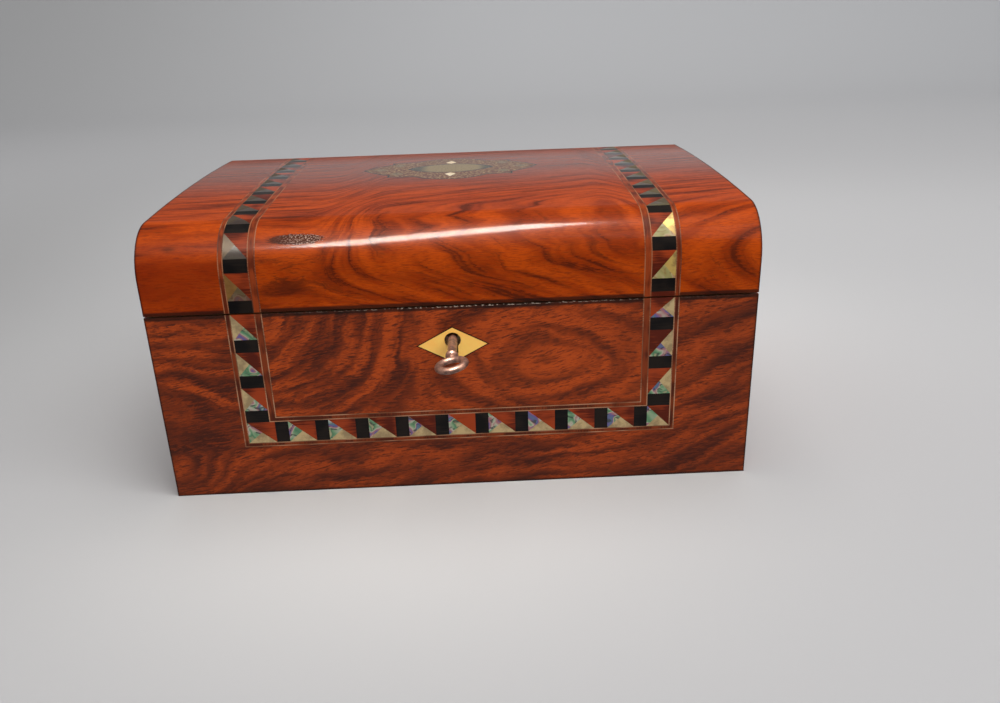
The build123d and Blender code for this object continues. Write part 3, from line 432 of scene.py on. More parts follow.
# painted shade on the edges, together with the real dark glue line round the escutcheon
base_wood.darken(side_edge.above(foot_edge).above(top_edge).above(glue_line) * 0.85)
chips = base_wood.noise(x / 1.6, z / 0.5, 41.0, 2.0)
at_top = base_wood.soft_step(z, base_top - 0.6, base_top - 0.1)
chipped = base_wood.soft_step(chips, 0.53, 0.60) * at_top
chip_run = base_wood.hill(x, z, (18, base_top), (60, 4)) * front
base_wood.darken(chipped * chip_run, (0.62, 0.50, 0.40))
base_wood.polish()
dress(base_wood, "base_front_veneer", "base_back_veneer")

# %% [markdown]
# The ends of the base are the darker leaf once more, with its grain along the depth. The
# photograph doesn't show them, so one broad hill in the rings is enough.

# %% Veneer the ends of the base
base_end_wood = Rosewood("base_end_rosewood", "Y", "Z", seed=14.4, slant=0.10)
base_end_wood.lift((20, 40), (50, 24), 24.0)
base_end_wood.tones(*base_tones, **base_grain)
# painted shade along the foot of the ends
end_foot = base_end_wood.soft_step(base_end_wood.over, 1.3, 0.3)
base_end_wood.darken(end_foot * 0.7)
base_end_wood.polish()
dress(base_end_wood, "base_left_veneer", "base_right_veneer")

# %% [markdown]
# ## Bands
# The bands are made of small pieces that were cut from different sheets, so no two have quite the
# same colour. Slow noise over the whole band gives each piece its own tone without counting the
# pieces.

# %% Finish the bands and lines
def banded_wood(name, light, dark, grain_mm, along_axis="X", tone_mm=9.0, on_lid=False):
    """Plain small pieces of veneer with straight fine grain."""
    wood = Finish(name, LID_POLISH if on_lid else POLISH)
    x, y, z = wood.place()
    tone = wood.noise(x / tone_mm, y / tone_mm, z / tone_mm, 1.0)
    over = y + z if along_axis == "X" else x
    along = x if along_axis == "X" else y + z
    grain = wood.noise(along / 9, over / grain_mm, 4.4, 3.0, 0.6)
    shade = wood.soft_step(tone * 0.65 + grain * 0.35, 0.40, 0.60)
    wood.surface_from(
        Base_Color=wood.mix(shade, light, dark), Roughness=0.35 + grain * 0.1,
        Normal=wood.bump(grain, 0.02, 0.3),
    )
    if on_lid:
        wood.surface_from(Coat_Weight=lid_gloss(wood, y + z))
    return wood


for place, on_lid in (("base", False), ("lid", True)):
    ebony = banded_wood(
        place + "_ebony", (0.013, 0.009, 0.007), (0.005, 0.004, 0.004), grain_mm=0.5, on_lid=on_lid
    )
    dress(ebony, place + "_band_ebony")
    redwood = banded_wood(
        place + "_redwood", (0.30, 0.042, 0.010), (0.085, 0.012, 0.005), grain_mm=0.7, tone_mm=12.0,
        on_lid=on_lid,
    )
    dress(redwood, place + "_band_redwood")
dress(ebony, "cartouche_border")
base_crossband = banded_wood(
    "base_crossband_wood", (0.20, 0.036, 0.010), (0.07, 0.014, 0.006), grain_mm=0.7, along_axis="Z"
)
lid_crossband = banded_wood(
    "lid_crossband_wood", (0.27, 0.044, 0.010), (0.11, 0.018, 0.006), grain_mm=0.7, along_axis="Z",
    on_lid=True,
)
dress(base_crossband, "base_crossband")
dress(lid_crossband, "lid_crossband")
base_string = banded_wood(
    "base_string_wood", (0.42, 0.22, 0.12), (0.17, 0.065, 0.030), grain_mm=0.4, tone_mm=14.0
)
lid_string = banded_wood(
    "lid_string_wood", (0.33, 0.13, 0.060), (0.12, 0.035, 0.016), grain_mm=0.4, tone_mm=14.0,
    on_lid=True,
)
dress(base_string, "base_stringing")
dress(lid_string, "lid_stringing")

# %% [markdown]
# ## Shell, brass and bone
# Abalone shows green, pink and violet in folded bands. Two noises, one warped by the other,
# choose a place on a ramp of such colours, and dark lines are left where the folds crowd. The
# brass is dulled to a khaki gold, so it is only partly metallic, with fine scratches. On the lid
# both are laid dark as painted shade: on the right only from the shoulder on, on the left from
# lower down.

# %% Finish the shell
shell_stops = [
    (0.28, (0.36, 0.31, 0.17)), (0.36, (0.045, 0.16, 0.075)), (0.43, (0.15, 0.28, 0.14)),
    (0.50, (0.40, 0.37, 0.29)), (0.55, (0.32, 0.12, 0.12)), (0.61, (0.10, 0.075, 0.23)),
    (0.68, (0.06, 0.14, 0.18)), (0.77, (0.36, 0.39, 0.33)),
]
# the colour of the painted shade laid on the lid's shell and brass
lid_shade_colour = (0.030, 0.022, 0.015)


def lid_painted_shade(finish, x, over):
    """How far painted shade darkens a place on the lid, from its side and its level y + z."""
    right = finish.soft_step(x, -20, 20)
    return finish.soft_step(over - right * 32.0, 8.0, 20.0)


def abalone(name, on_lid=False):
    """Abalone shell under polish."""
    polish, shine = (LID_POLISH, 0.15) if on_lid else (POLISH, 0.4)
    shell = Finish(name, {**polish, "Roughness": 0.3, "Specular IOR Level": shine})
    x, y, z = shell.place()
    over = y + z
    fold = shell.noise(x / 7, over / 7, 1.7, 1.0)
    hue = shell.noise(x / 7.5 + fold * 2.2, over / 7.5 - fold * 2.0, 6.2, 1.0)
    colour = shell.node("ShaderNodeValToRGB", {"stops": shell_stops}, {"Fac": hue})
    lines = shell.noise(x / 2.6 + fold * 5, over / 1.9 - fold * 4, 9.0, 1.0)
    colour = shell.mix(shell.soft_step(lines, 0.56, 0.66) * 0.85, colour, (0.025, 0.032, 0.026))
    if on_lid:
        # painted highlight: the shell on the right tinted gold where it glints
        colour = shell.mix(shell.soft_step(x, -20, 20) * 0.55, colour, (0.46, 0.30, 0.085))
        # painted shade: the shell on the left laid darker
        colour = shell.mix(shell.soft_step(x, 20, -20) * 0.85, colour, (0.10, 0.040, 0.014))
        # painted shade: the lid's shell laid dark from the shoulder on at the right, lower down at
        # the left
        colour = shell.mix(lid_painted_shade(shell, x, over) * 0.86, colour, lid_shade_colour)
        shell.surface_from(Coat_Weight=lid_gloss(shell, over))
    shell.surface_from(Base_Color=colour, Normal=shell.bump(fold + lines * 0.3, 0.06, 0.4))
    return shell


dress(abalone("pearl_shell"), "base_band_shell")
dress(abalone("lid_pearl_shell", on_lid=True), "lid_band_shell")

# %% [markdown]
# The brass, the steel of the lock, the key and the bone kites are all old and handled. Only their
# tones and their shine differ, so one function makes them: two tones in soft patches, as tarnish
# leaves them, and fine scratches along the box.

# %% Finish the metals and the bone
def aged_metal(name, bright, dull, metallic, roughness, patch_mm, on_lid=False, fixed=None):
    """Metal with patches of tarnish and fine scratches."""
    sockets = {"Metallic": metallic, "Coat Weight": 0.3, "Coat Roughness": 0.2, **(fixed or {})}
    metal = Finish(name, sockets)
    x, y, z = metal.place()
    patch = metal.noise(x / patch_mm, y / patch_mm, z / patch_mm, 4.0, 0.6)
    scratch = metal.noise(x / 7, y / 0.25, z / 0.25, 2.0)
    colour = metal.mix(metal.soft_step(patch, 0.38, 0.64), bright, dull)
    if on_lid:
        # painted shade: the brass on the left laid darker
        colour = metal.mix(metal.soft_step(x, 20, -20) * 0.85, colour, (0.15, 0.062, 0.012))
        # painted shade: the lid's brass laid dark from the shoulder on at the right, lower down at
        # the left
        colour = metal.mix(lid_painted_shade(metal, x, y + z) * 0.86, colour, lid_shade_colour)
    metal.surface_from(
        Base_Color=colour, Roughness=roughness + patch * 0.18, Normal=metal.bump(scratch, 0.01, 0.3)
    )
    return metal


inlay_brass = aged_metal(
    "inlay_brass", (0.45, 0.32, 0.14), (0.25, 0.17, 0.07),
    metallic=0.12, roughness=0.42, patch_mm=5.0,
)
dress(inlay_brass, "base_band_brass")
lid_brass = aged_metal(
    "lid_inlay_brass", (0.46, 0.31, 0.08), (0.22, 0.14, 0.045), metallic=0.15, roughness=0.42,
    patch_mm=5.0, on_lid=True, fixed={"Specular IOR Level": 0.1, "Coat Weight": 0.1},
)
dress(lid_brass, "lid_band_brass")
escutcheon_brass = aged_metal(
    "escutcheon_brass", (1.0, 0.60, 0.11), (1.0, 0.52, 0.085),
    metallic=0.05, roughness=0.34, patch_mm=12.0,
)
dress(escutcheon_brass, "escutcheon")
lock_brass = aged_metal(
    "lock_brass", (0.62, 0.45, 0.20), (0.36, 0.25, 0.12),
    metallic=0.9, roughness=0.35, patch_mm=8.0,
)
dress(
    lock_brass, "lock_plate", "lock_cap", "lock_bolt", "link_plate",
    "left_hinge_base_leaf", "right_hinge_base_leaf", "left_hinge_lid_leaf", "right_hinge_lid_leaf",
)
steel = aged_metal(
    "lock_steel", (0.46, 0.44, 0.42), (0.22, 0.20, 0.18),
    metallic=0.95, roughness=0.34, patch_mm=4.0,
)
dress(
    steel, "lock_pin", "bolt_spring", "bolt_studs", "link_hooks", "hinge_pins",
    "base_screws", "lid_screws",
)
key_metal = aged_metal(
    "key_metal", (0.27, 0.125, 0.082), (0.10, 0.046, 0.033),
    metallic=0.45, roughness=0.38, patch_mm=2.5,
)
dress(key_metal, "key")
bone = aged_metal(
    "bone", (0.80, 0.68, 0.46), (0.58, 0.42, 0.24),
    metallic=0.0, roughness=0.4, patch_mm=3.0,
)
dress(bone, "cartouche_kites")

# %% [markdown]
# ## Cartouche
# The cartouche is a dark frame with a ground full of tiny cut ornament, which reads at this
# distance only as khaki and dark flecks, so flecks are what it gets. The plate in its middle has
# gone dark at its ends.

# %% Finish the cartouche
def flecked(name, ground, fleck, fleck_mm, level):
    """A ground with small flecks of another colour under one polish."""
    inlay = Finish(name, {**LID_POLISH, "Coat Weight": 0.6, "Roughness": 0.35})
    x, y, z = inlay.place()
    curls = inlay.noise(x / 6, y / 6, 2.0, 1.0)
    flecks = inlay.noise(x / fleck_mm + curls * 3, y / fleck_mm - curls * 3, 7.0, 2.0, 0.6)
    mask = inlay.soft_step(flecks, level, level + 0.05)
    colour = inlay.mix(mask, ground, fleck)
    inlay.surface_from(Base_Color=colour, Normal=inlay.bump(mask, 0.05, 0.4))
    return inlay


ornament = flecked(
    "cartouche_redwood", (0.11, 0.034, 0.014), (0.30, 0.18, 0.075), fleck_mm=1.7, level=0.52
)
dress(ornament, "cartouche_ground")
cut_shell = flecked(
    "cartouche_pearl", (0.20, 0.135, 0.070), (0.060, 0.042, 0.024), fleck_mm=1.2, level=0.52
)
dress(cut_shell, "cartouche_shell")
plate_polish = {**LID_POLISH, "Coat Weight": 0.6, "Metallic": 0.15, "Roughness": 0.36}
plate = Finish("cartouche_brass", plate_polish)
x, y, z = plate.place()
plate_ends = plate.soft_step(abs(x), 13, 19)
plate_speckle = plate.noise(x / 1.1, y / 1.1, 3.0, 2.0)
plate_tone = plate.mix(
    plate.soft_step(plate_speckle, 0.42, 0.62), (0.26, 0.185, 0.080), (0.18, 0.12, 0.052)
)
plate.surface_from(
    Base_Color=plate.mix(plate_ends * 0.8, plate_tone, (0.018, 0.022, 0.016)),
    Normal=plate.bump(plate_speckle, 0.02, 0.3),
)
dress(plate, "cartouche_plate")

# %% [markdown]
# ## Boards, tray and linings
# Inside, the boards are bare softwood, and the tray is thin rosewood. The cloths are silk and
# velvet.

# %% Finish the inside
def plain_wood(name, light, dark, fixed):
    """Straight-grained wood for boards."""
    wood = Finish(name, fixed)
    x, y, z = wood.place()
    rings = wood.noise(x / 90, y / 7, z / 7, 3.0, 0.6, 0.4)
    fibre = wood.noise(x / 22, y / 0.7, z / 0.7, 3.0)
    wood.surface_from(
        Base_Color=wood.mix(wood.soft_step(rings * 0.7 + fibre * 0.3, 0.38, 0.62), light, dark),
        Roughness=0.5 + fibre * 0.2, Normal=wood.bump(fibre, 0.05, 0.5),
    )
    return wood


board_wood = plain_wood("carcass_wood", (0.36, 0.20, 0.095), (0.23, 0.115, 0.050), {})
dress(
    board_wood, "bottom_panel",
    "base_front_board", "base_back_board", "base_left_board", "base_right_board",
    "lid_front_rail", "lid_back_rail", "lid_top_board", "lid_left_end", "lid_right_end",
    "tray_bearers",
)
tray_wood = plain_wood("tray_rosewood", (0.24, 0.065, 0.025), (0.10, 0.025, 0.012), POLISH)
dress(tray_wood, "tray_frame", "tray_floor", "tray_long_dividers", "tray_cross_dividers")


def cloth(name, deep, raised, weave_mm):
    """Soft cloth with a fine weave and a little sheen."""
    fabric = Finish(name, {"Roughness": 0.85, "Sheen Weight": 0.15, "Specular IOR Level": 0.2})
    x, y, z = fabric.place()
    worn = fabric.noise(x / 14, y / 14, z / 14, 3.0)
    weave = fabric.noise(x / weave_mm, y / weave_mm, z / weave_mm, 1.0)
    fabric.surface_from(
        Base_Color=fabric.mix(fabric.soft_step(worn * 0.6 + weave * 0.4, 0.35, 0.65), deep, raised),
        Normal=fabric.bump(weave, 0.15, 0.5),
    )
    return fabric


velvet = cloth("tray_velvet", (0.15, 0.009, 0.018), (0.21, 0.016, 0.028), weave_mm=0.35)
silk = cloth("lid_silk", (0.20, 0.014, 0.026), (0.27, 0.024, 0.042), weave_mm=0.3)
lining_cloth = cloth("lining_paper", (0.15, 0.013, 0.024), (0.20, 0.020, 0.034), weave_mm=0.4)
ribbon_silk = cloth("ribbon_silk", (0.28, 0.024, 0.045), (0.36, 0.040, 0.065), weave_mm=0.25)
cloths = [velvet, silk, lining_cloth, ribbon_silk]
print("cloths made:", len(cloths))

# %% [markdown]
# ## Key
# The plain model's key is right in its sizes but has a flat-sided bow. On the real key the bow is
# a ring of round section that runs into the shank, so the ring and the turned shank are made
# again here from circles, in the key's own three directions: along the shank, towards the bit,
# and out of its plane.

# %% Make the key
MM = 0.001


def make_mesh_object(name, points, faces):
    """A smoothly shaded object from corner points and faces."""
    mesh = bpy.data.meshes.new(name)
    mesh.from_pydata([tuple(point) for point in points], [], faces)
    mesh.update()
    for face in mesh.polygons:
        face.use_smooth = True
    made = bpy.data.objects.new(name, mesh)
    bpy.context.scene.collection.objects.link(made)
    return made


def face_outwards(piece, sharp_degrees):
    """Turns a piece's faces outwards, and marks its edges as sharp above an angle."""
    turning = bmesh.new()
    turning.from_mesh(piece.data)
    bmesh.ops.recalc_face_normals(turning, faces=turning.faces[:])
    turning.to_mesh(piece.data)
    turning.free()
    piece.data.set_sharp_from_angle(angle=math.radians(sharp_degrees))


def stand_for(piece, finish, node, body):
    piece.data.materials.append(finish.material)
    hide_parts(node)
    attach(piece, body)


def ring_faces(rings, count, closed):
    """Faces between rings of equal count, the last joined to the first if closed."""
    faces = []
    for ring in range(rings if closed else rings - 1):
        following = (ring + 1) % rings
        for step in range(count):
            after = (step + 1) % count
            here, there = ring * count, following * count
            faces.append((here + step, here + after, there + after, there + step))
    return faces


key_turn_at_rest = math.radians(80)
key_start = Vector((-1.2, -93.3, 76.4))
shank_way = Vector((0, -1, 0))
out_way = Vector((math.cos(key_turn_at_rest), 0, -math.sin(key_turn_at_rest)))
bit_way = out_way.cross(shank_way)


def key_point(along, towards_bit, out):
    """A place on the key in metres, from three distances in millimetres."""
    return (key_start + along * shank_way + towards_bit * bit_way + out * out_way) * MM


print("key starts at, in millimetres:", [round(value, 1) for value in key_start])

# %% [markdown]
# The shank is turned work: a hollow pipe, a collar, and a neck that runs into the bow. A cylinder
# with a Bevel modifier would lose the collar, so pairs of distance along the shank and radius are
# carried round in circles.

# %% Turn the shank
shank_profile = [
    (14.0, 0.02), (14.0, 1.05), (0.1, 1.05), (0.0, 1.2), (0.0, 2.05), (0.2, 2.25), (12.0, 2.22),
    (25.4, 2.15), (26.0, 2.2), (26.3, 2.6), (26.9, 2.9), (27.7, 2.9), (28.2, 2.55), (28.6, 2.1),
    (29.0, 2.0), (29.6, 2.1), (30.4, 1.9), (31.4, 1.5), (32.2, 0.02),
]
round_count = 40
angles = [2 * math.pi * i / round_count for i in range(round_count)]
circle = [(math.cos(angle), math.sin(angle)) for angle in angles]
key_points = [key_point(a, r * c, r * s) for a, r in shank_profile for c, s in circle]
key_faces = ring_faces(len(shank_profile), round_count, closed=False)
print("rings on the shank:", len(shank_profile))

# %% [markdown]
# Blender's torus has a round section, but the real ring is a little wider than it is thick. So
# its points are set out here, one small ring of the section after another.

# %% Bend the ring of the bow
bow_along, bow_reach, bow_half_width, bow_half_thickness = 37.4, 5.85, 1.72, 1.5
bow_steps, section_steps = 56, 20
first = len(key_points)
for i in range(bow_steps):
    angle = 2 * math.pi * i / bow_steps
    for j in range(section_steps):
        lean = 2 * math.pi * j / section_steps
        reach = bow_reach + bow_half_width * math.cos(lean)
        thickness = bow_half_thickness * math.sin(lean)
        key_points.append(
            key_point(bow_along - reach * math.cos(angle), reach * math.sin(angle), thickness)
        )
bow_faces = ring_faces(bow_steps, section_steps, closed=True)
key_faces += [tuple(first + corner for corner in face) for face in bow_faces]
print("faces on the bow:", len(bow_faces))

# %% [markdown]
# The bit is a plate with one notch, and it moves the bolt inside the lock. Its outline is enough:
# it is laid down twice, once for each side, and the two are joined.

# %% File the bit
bit_outline = [
    (0.4, 1.7), (0.4, 6.2), (1.6, 6.2), (1.6, 4.5), (2.4, 4.5), (2.4, 6.2), (4.0, 6.2), (4.0, 1.7),
]
bit_half = 1.1
first = len(key_points)
key_points += [key_point(a, b, side * bit_half) for side in (-1, 1) for a, b in bit_outline]
corners = len(bit_outline)
key_faces += [
    (first + i, first + (i + 1) % corners, first + corners + (i + 1) % corners, first + corners + i)
    for i in range(corners)
]
key_faces += [
    tuple(first + i for i in reversed(range(corners))),
    tuple(first + corners + i for i in range(corners)),
]
fine_key = make_mesh_object("fine_key", key_points, key_faces)
face_outwards(fine_key, sharp_degrees=38)
stand_for(fine_key, key_metal, "key", "key")
print("faces on the key:", len(key_faces))

# %% [markdown]
# ## Pads
# Stuffed cloth is blown up, as real wadding pushes it: each pad starts as a thin closed shape
# with many small faces, and a short cloth simulation with pressure and no gravity rounds it. The
# side that is glued to its board is pinned, and so are the tufts of the lid's pad. No point may
# leave the room that the model gives the pad.

# %% A thin closed shape with small faces
WADDING_PRESSURE, CLOTH_MASS, CLOTH_STIFFNESS, CLOTH_BENDING = 14.0, 0.003, 1.0, 0.05
LID_PAD_FRAMES, LID_PAD_SWELL, LID_PAD_FILL = 20, 4.6, 0.6
TRAY_PAD_FRAMES, TRAY_PAD_SWELL, TRAY_PAD_FILL = 12, 1.6, 0.5


def pad_mesh(name, low, high, cell):
    """A closed slab between two corners in millimetres, its broad faces cut into cells."""
    columns = max(2, round((high[0] - low[0]) / cell))
    rows = max(2, round((high[1] - low[1]) / cell))
    points = []
    for z in (low[2], high[2]):
        for row in range(rows + 1):
            for column in range(columns + 1):
                x = low[0] + (high[0] - low[0]) * column / columns
                y = low[1] + (high[1] - low[1]) * row / rows
                points.append((x * MM, y * MM, z * MM))
    width = columns + 1
    layer = (rows + 1) * width
    faces = []
    for row in range(rows):
        for column in range(columns):
            at = row * width + column
            faces.append((at, at + width, at + width + 1, at + 1))
            faces.append((layer + at, layer + at + 1, layer + at + width + 1, layer + at + width))
    rim = list(range(columns))
    rim += [row * width + columns for row in range(rows)]
    rim += [rows * width + columns - column for column in range(columns)]
    rim += [(rows - row) * width for row in range(rows)]
    for here, after in zip(rim, rim[1:] + rim[:1]):
        faces.append((here, after, layer + after, layer + here))
    return make_mesh_object(name, points, faces)


def blow_up(piece, glued, cap_mm, low, high, frames):
    """Swells a piece by a short simulation, up to a cap, and keeps its points in its room."""
    group = piece.vertex_groups.new(name="glued")
    held = [point.index for point in piece.data.vertices if glued(point.co * 1000)]
    group.add(held, 1.0, "REPLACE")
    start = [point.co.copy() for point in piece.data.vertices]
    wadding = piece.modifiers.new("wadding", "CLOTH")
    wadding.settings.use_pressure = True
    wadding.settings.uniform_pressure_force = WADDING_PRESSURE
    wadding.settings.effector_weights.gravity = 0
    wadding.settings.mass = CLOTH_MASS
    wadding.settings.tension_stiffness = CLOTH_STIFFNESS
    wadding.settings.compression_stiffness = CLOTH_STIFFNESS
    wadding.settings.shear_stiffness = CLOTH_STIFFNESS
    wadding.settings.bending_stiffness = CLOTH_BENDING
    wadding.settings.vertex_group_mass = "glued"
    for number in range(1, frames + 1):
        bpy.context.scene.frame_set(number)
    swollen = piece.evaluated_get(bpy.context.evaluated_depsgraph_get()).data
    moved = [point.co.copy() for point in swollen.vertices]
    piece.modifiers.remove(wadding)
    piece.vertex_groups.remove(group)
    bpy.context.scene.frame_set(1)
    largest = max((after - before).length for before, after in zip(start, moved))
    share = min(1.0, cap_mm * MM / largest)
    for point, before, after in zip(piece.data.vertices, start, moved):
        place = before.lerp(after, share)
        limits = zip(place, low, high)
        point.co = [min(max(value, least * MM), most * MM) for value, least, most in limits]
    print(piece.name, "swelled by", round(largest * share * 1000, 2), "mm")


def finish_pad(piece, cloth, node, body):
    piece.modifiers.new("rounding", "SUBSURF").render_levels = 1
    stand_for(piece, cloth, node, body)


print("frames of simulation for the lid and the tray:", LID_PAD_FRAMES, TRAY_PAD_FRAMES)

# %% [markdown]
# The lid's pad is silk over wadding, glued under the curved board and held down by rows of tufts.
# It starts as a slab that follows the board and is drawn in a little at each tuft, so the
# simulation only has to round the cushions between them.

# %% Pad the lid
lid_room = [[value * 1000 for value in corner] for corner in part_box("lid_lining")]
lid_room_low, lid_room_high = lid_room
crown_radius, crown_gap, lid_wadding, silk_cell, lid_glue_depth = 1735.0, 0.25, 3.6, 4.0, 1.0
tuft_across, tuft_along, tuft_reach, tuft_pull, tuft_spread = 37.0, 39.0, 2.9, 2.3, 5.0


def crown_drop(y):
    """How far the lid's curved board has come down at a distance from the middle, in mm."""
    return y * y / (2 * crown_radius)


def tuft_distance(place):
    """How far a point is from the nearest tuft, in millimetres."""
    row = round(place.y / tuft_along)
    shift = tuft_across / 2 if row % 2 else 0.0
    column = round((place.x - shift) / tuft_across)
    return math.hypot(place.x - shift - column * tuft_across, place.y - row * tuft_along)


def glued_to_lid(place):
    """Whether a point is glued to the board, or held by a tuft."""
    glued = place.z > lid_room_high[2] - crown_drop(place.y) - crown_gap - lid_glue_depth
    return glued or tuft_distance(place) < tuft_reach


silk_inset = 0.6
pad_ceiling = lid_room_high[2] - crown_gap
lid_pad = pad_mesh(
    "lid_pad",
    (lid_room_low[0] + silk_inset, lid_room_low[1] + silk_inset, pad_ceiling - lid_wadding),
    (lid_room_high[0] - silk_inset, lid_room_high[1] - silk_inset, pad_ceiling), silk_cell,
)
for point in lid_pad.data.vertices:
    place = point.co * 1000
    pulled = tuft_pull * math.exp(-((tuft_distance(place) / tuft_spread) ** 2))
    if place.z > pad_ceiling - lid_glue_depth:
        pulled = 0.0
    point.co.z += (pulled - crown_drop(place.y)) * MM
blow_up(lid_pad, glued_to_lid, LID_PAD_SWELL, lid_room_low, lid_room_high, LID_PAD_FRAMES)
finish_pad(lid_pad, silk, "lid_lining", "lid")
print("faces on the lid's pad:", len(lid_pad.data.polygons))

# %% [markdown]
# Each of the tray's seven compartments has a thin velvet pad on its floor. A single sheet would
# pass through the dividers, so they are seven pieces, and they swell only a little, because the
# tray is shallow.

# %% Pad the tray
centre_half, divider, tray_half_x, tray_half_y, side_rows = 43.5, 3.0, 125.1, 86.6, 3
pad_floor, pad_top, pad_wadding, tray_glue_depth = 60.5, 63.5, 1.3, 0.5
velvet_inset, velvet_cell = 0.5, 3.6
row_depth = (2 * tray_half_y - (side_rows - 1) * divider) / side_rows


def glued_to_tray(place):
    """Whether a point is on the side that is glued to the tray's floor."""
    return place.z < pad_floor + tray_glue_depth


rooms = {"centre": ((-centre_half, -tray_half_y), (centre_half, tray_half_y))}
for side, sign in (("left", -1), ("right", 1)):
    near, far = sign * (centre_half + divider), sign * tray_half_x
    for row, place in enumerate(("front", "middle", "back")):
        start = -tray_half_y + row * (row_depth + divider)
        rooms[side + "_" + place] = ((min(near, far), start), (max(near, far), start + row_depth))
for name, ((x0, y0), (x1, y1)) in rooms.items():
    low = (x0 + velvet_inset, y0 + velvet_inset, pad_floor)
    high = (x1 - velvet_inset, y1 - velvet_inset, pad_top)
    slab_high = (high[0], high[1], pad_floor + pad_wadding)
    pad = pad_mesh("tray_pad_" + name, low, slab_high, velvet_cell)
    blow_up(pad, glued_to_tray, TRAY_PAD_SWELL, low, high, TRAY_PAD_FRAMES)
    finish_pad(pad, velvet, "tray_pads", "tray")
print("pads in the tray:", len(rooms))

# %% [markdown]
# ## Ribbons and lining
# The two ribbons that lift the tray are flat silk, folded over into a loop against the end walls.
# A simulation would lose so thin a strip, so each is swept along its curve directly, a little
# dished across. The base is lined with thin cloth, pasted in. It is one open box of cloth, never
# quite flat.

# %% Fold the ribbons
ribbon_width, ribbon_thickness, ribbon_cuts, ribbon_dish = 10.0, 0.45, 8, 0.35
ribbon_bends = [
    (124.72, 64.2), (124.74, 70.5), (124.72, 77.0), (124.40, 83.2), (122.60, 86.9), (119.60, 87.3),
    (117.30, 84.2), (117.50, 79.0), (119.60, 73.0), (122.30, 67.6), (123.50, 64.2),
]


def smooth_line(bends, steps):
    """Points on a smooth line through bends, by Catmull and Rom's rule."""
    padded = [bends[0]] + bends + [bends[-1]]
    line = []
    for before, here, after, later in zip(padded, padded[1:], padded[2:], padded[3:]):
        for step in range(steps):
            t = step / steps
            place = []
            for a, b, c, d in zip(before, here, after, later):
                square, cube = 2 * a - 5 * b + 4 * c - d, 3 * b - a - 3 * c + d
                place.append(0.5 * (2 * b + (c - a) * t + square * t ** 2 + cube * t ** 3))
            line.append(place)
    return line + [list(bends[-1])]


ribbon_line = smooth_line(ribbon_bends, steps=6)
ribbon_length = sum(math.dist(here, after) for here, after in zip(ribbon_line, ribbon_line[1:]))
for name, sign in (("left_ribbon", -1), ("right_ribbon", 1)):
    ribbon_points = []
    for index, (x, z) in enumerate(ribbon_line):
        before = ribbon_line[max(index - 1, 0)]
        after = ribbon_line[min(index + 1, len(ribbon_line) - 1)]
        run_x, run_z = after[0] - before[0], after[1] - before[1]
        length = math.hypot(run_x, run_z)
        normal = (run_z / length, -run_x / length)
        lifted = math.sin(math.pi * index / (len(ribbon_line) - 1))
        section = []
        for face in (-0.5, 0.5):
            cuts = range(ribbon_cuts + 1) if face < 0 else reversed(range(ribbon_cuts + 1))
            for cut in cuts:
                across_part = cut / ribbon_cuts * 2 - 1
                depth = face * ribbon_thickness - ribbon_dish * lifted * (1 - across_part ** 2)
                section.append((
                    sign * (x + normal[0] * depth) * MM, across_part * ribbon_width / 2 * MM,
                    (z + normal[1] * depth) * MM,
                ))
        ribbon_points += section
    ring = 2 * (ribbon_cuts + 1)
    ribbon_faces = ring_faces(len(ribbon_line), ring, closed=False)
    last = len(ribbon_points) - ring
    ribbon_faces += [tuple(range(ring)), tuple(last + i for i in reversed(range(ring)))]
    ribbon = make_mesh_object(name, ribbon_points, ribbon_faces)
    face_outwards(ribbon, sharp_degrees=50)
    stand_for(ribbon, ribbon_silk, "tray_ribbons", "tray")
    flat_size = (ribbon_width * MM, ribbon_length * MM)
print("ribbon in millimetres:", ribbon_width, "by", round(ribbon_length, 1))

# %% [markdown]
# Cloth that is pasted down has no folds, only a slight waviness. So an open box is cut into small
# faces, moved inwards by smooth noise that is the same on each run, and given its thickness by a
# Solidify modifier, which leaves the wall side where it is.

# %% Line the base
lining_low, lining_high = [Vector(corner) * 1000 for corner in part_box("base_lining")]
cloth_gap, cloth_thickness, lining_cuts = 0.06, 0.40, 26
cloth_wave, waves_per_metre, on_wall = 0.35, 28, 1e-6
low = lining_low + Vector((cloth_gap, cloth_gap, cloth_gap))
high = lining_high - Vector((cloth_gap, cloth_gap, cloth_gap))
plan = [(low.x, low.y), (high.x, low.y), (high.x, high.y), (low.x, high.y)]
lining_corners = [Vector((x, y, z)) * MM for z in (low.z, high.z) for x, y in plan]
lining_walls = [(0, 1, 2, 3), (0, 4, 5, 1), (1, 5, 6, 2), (2, 6, 7, 3), (3, 7, 4, 0)]
lining = make_mesh_object("pasted_lining", lining_corners, lining_walls)
pasting = bmesh.new()
pasting.from_mesh(lining.data)
bmesh.ops.subdivide_edges(pasting, edges=pasting.edges[:], cuts=lining_cuts, use_grid_fill=True)
middle = (low + high) / 2 * MM
for point in pasting.verts:
    ripple = (1 + noise.noise(point.co * waves_per_metre)) / 2 * cloth_wave * MM
    for axis, least, most in ((0, low.x, high.x), (1, low.y, high.y)):
        if min(abs(point.co[axis] - least * MM), abs(point.co[axis] - most * MM)) < on_wall:
            point.co[axis] += math.copysign(ripple, middle[axis] - point.co[axis])
    if point.co.z < (low.z + 0.01) * MM:
        point.co.z += ripple
pasting.to_mesh(lining.data)
pasting.free()
thickening = lining.modifiers.new("thickness", "SOLIDIFY")
thickening.thickness = cloth_thickness * MM
thickening.offset = 1.0
stand_for(lining, lining_cloth, "base_lining", "base")
wide, deep, tall = high - low
flat_size = ((wide + 2 * tall) * MM, (deep + 2 * tall) * MM)
(wide * deep + 2 * (wide + deep) * tall) * 1e-6
print("lining in millimetres, flat:", round(wide + 2 * tall, 1), "by", round(deep + 2 * tall, 1))

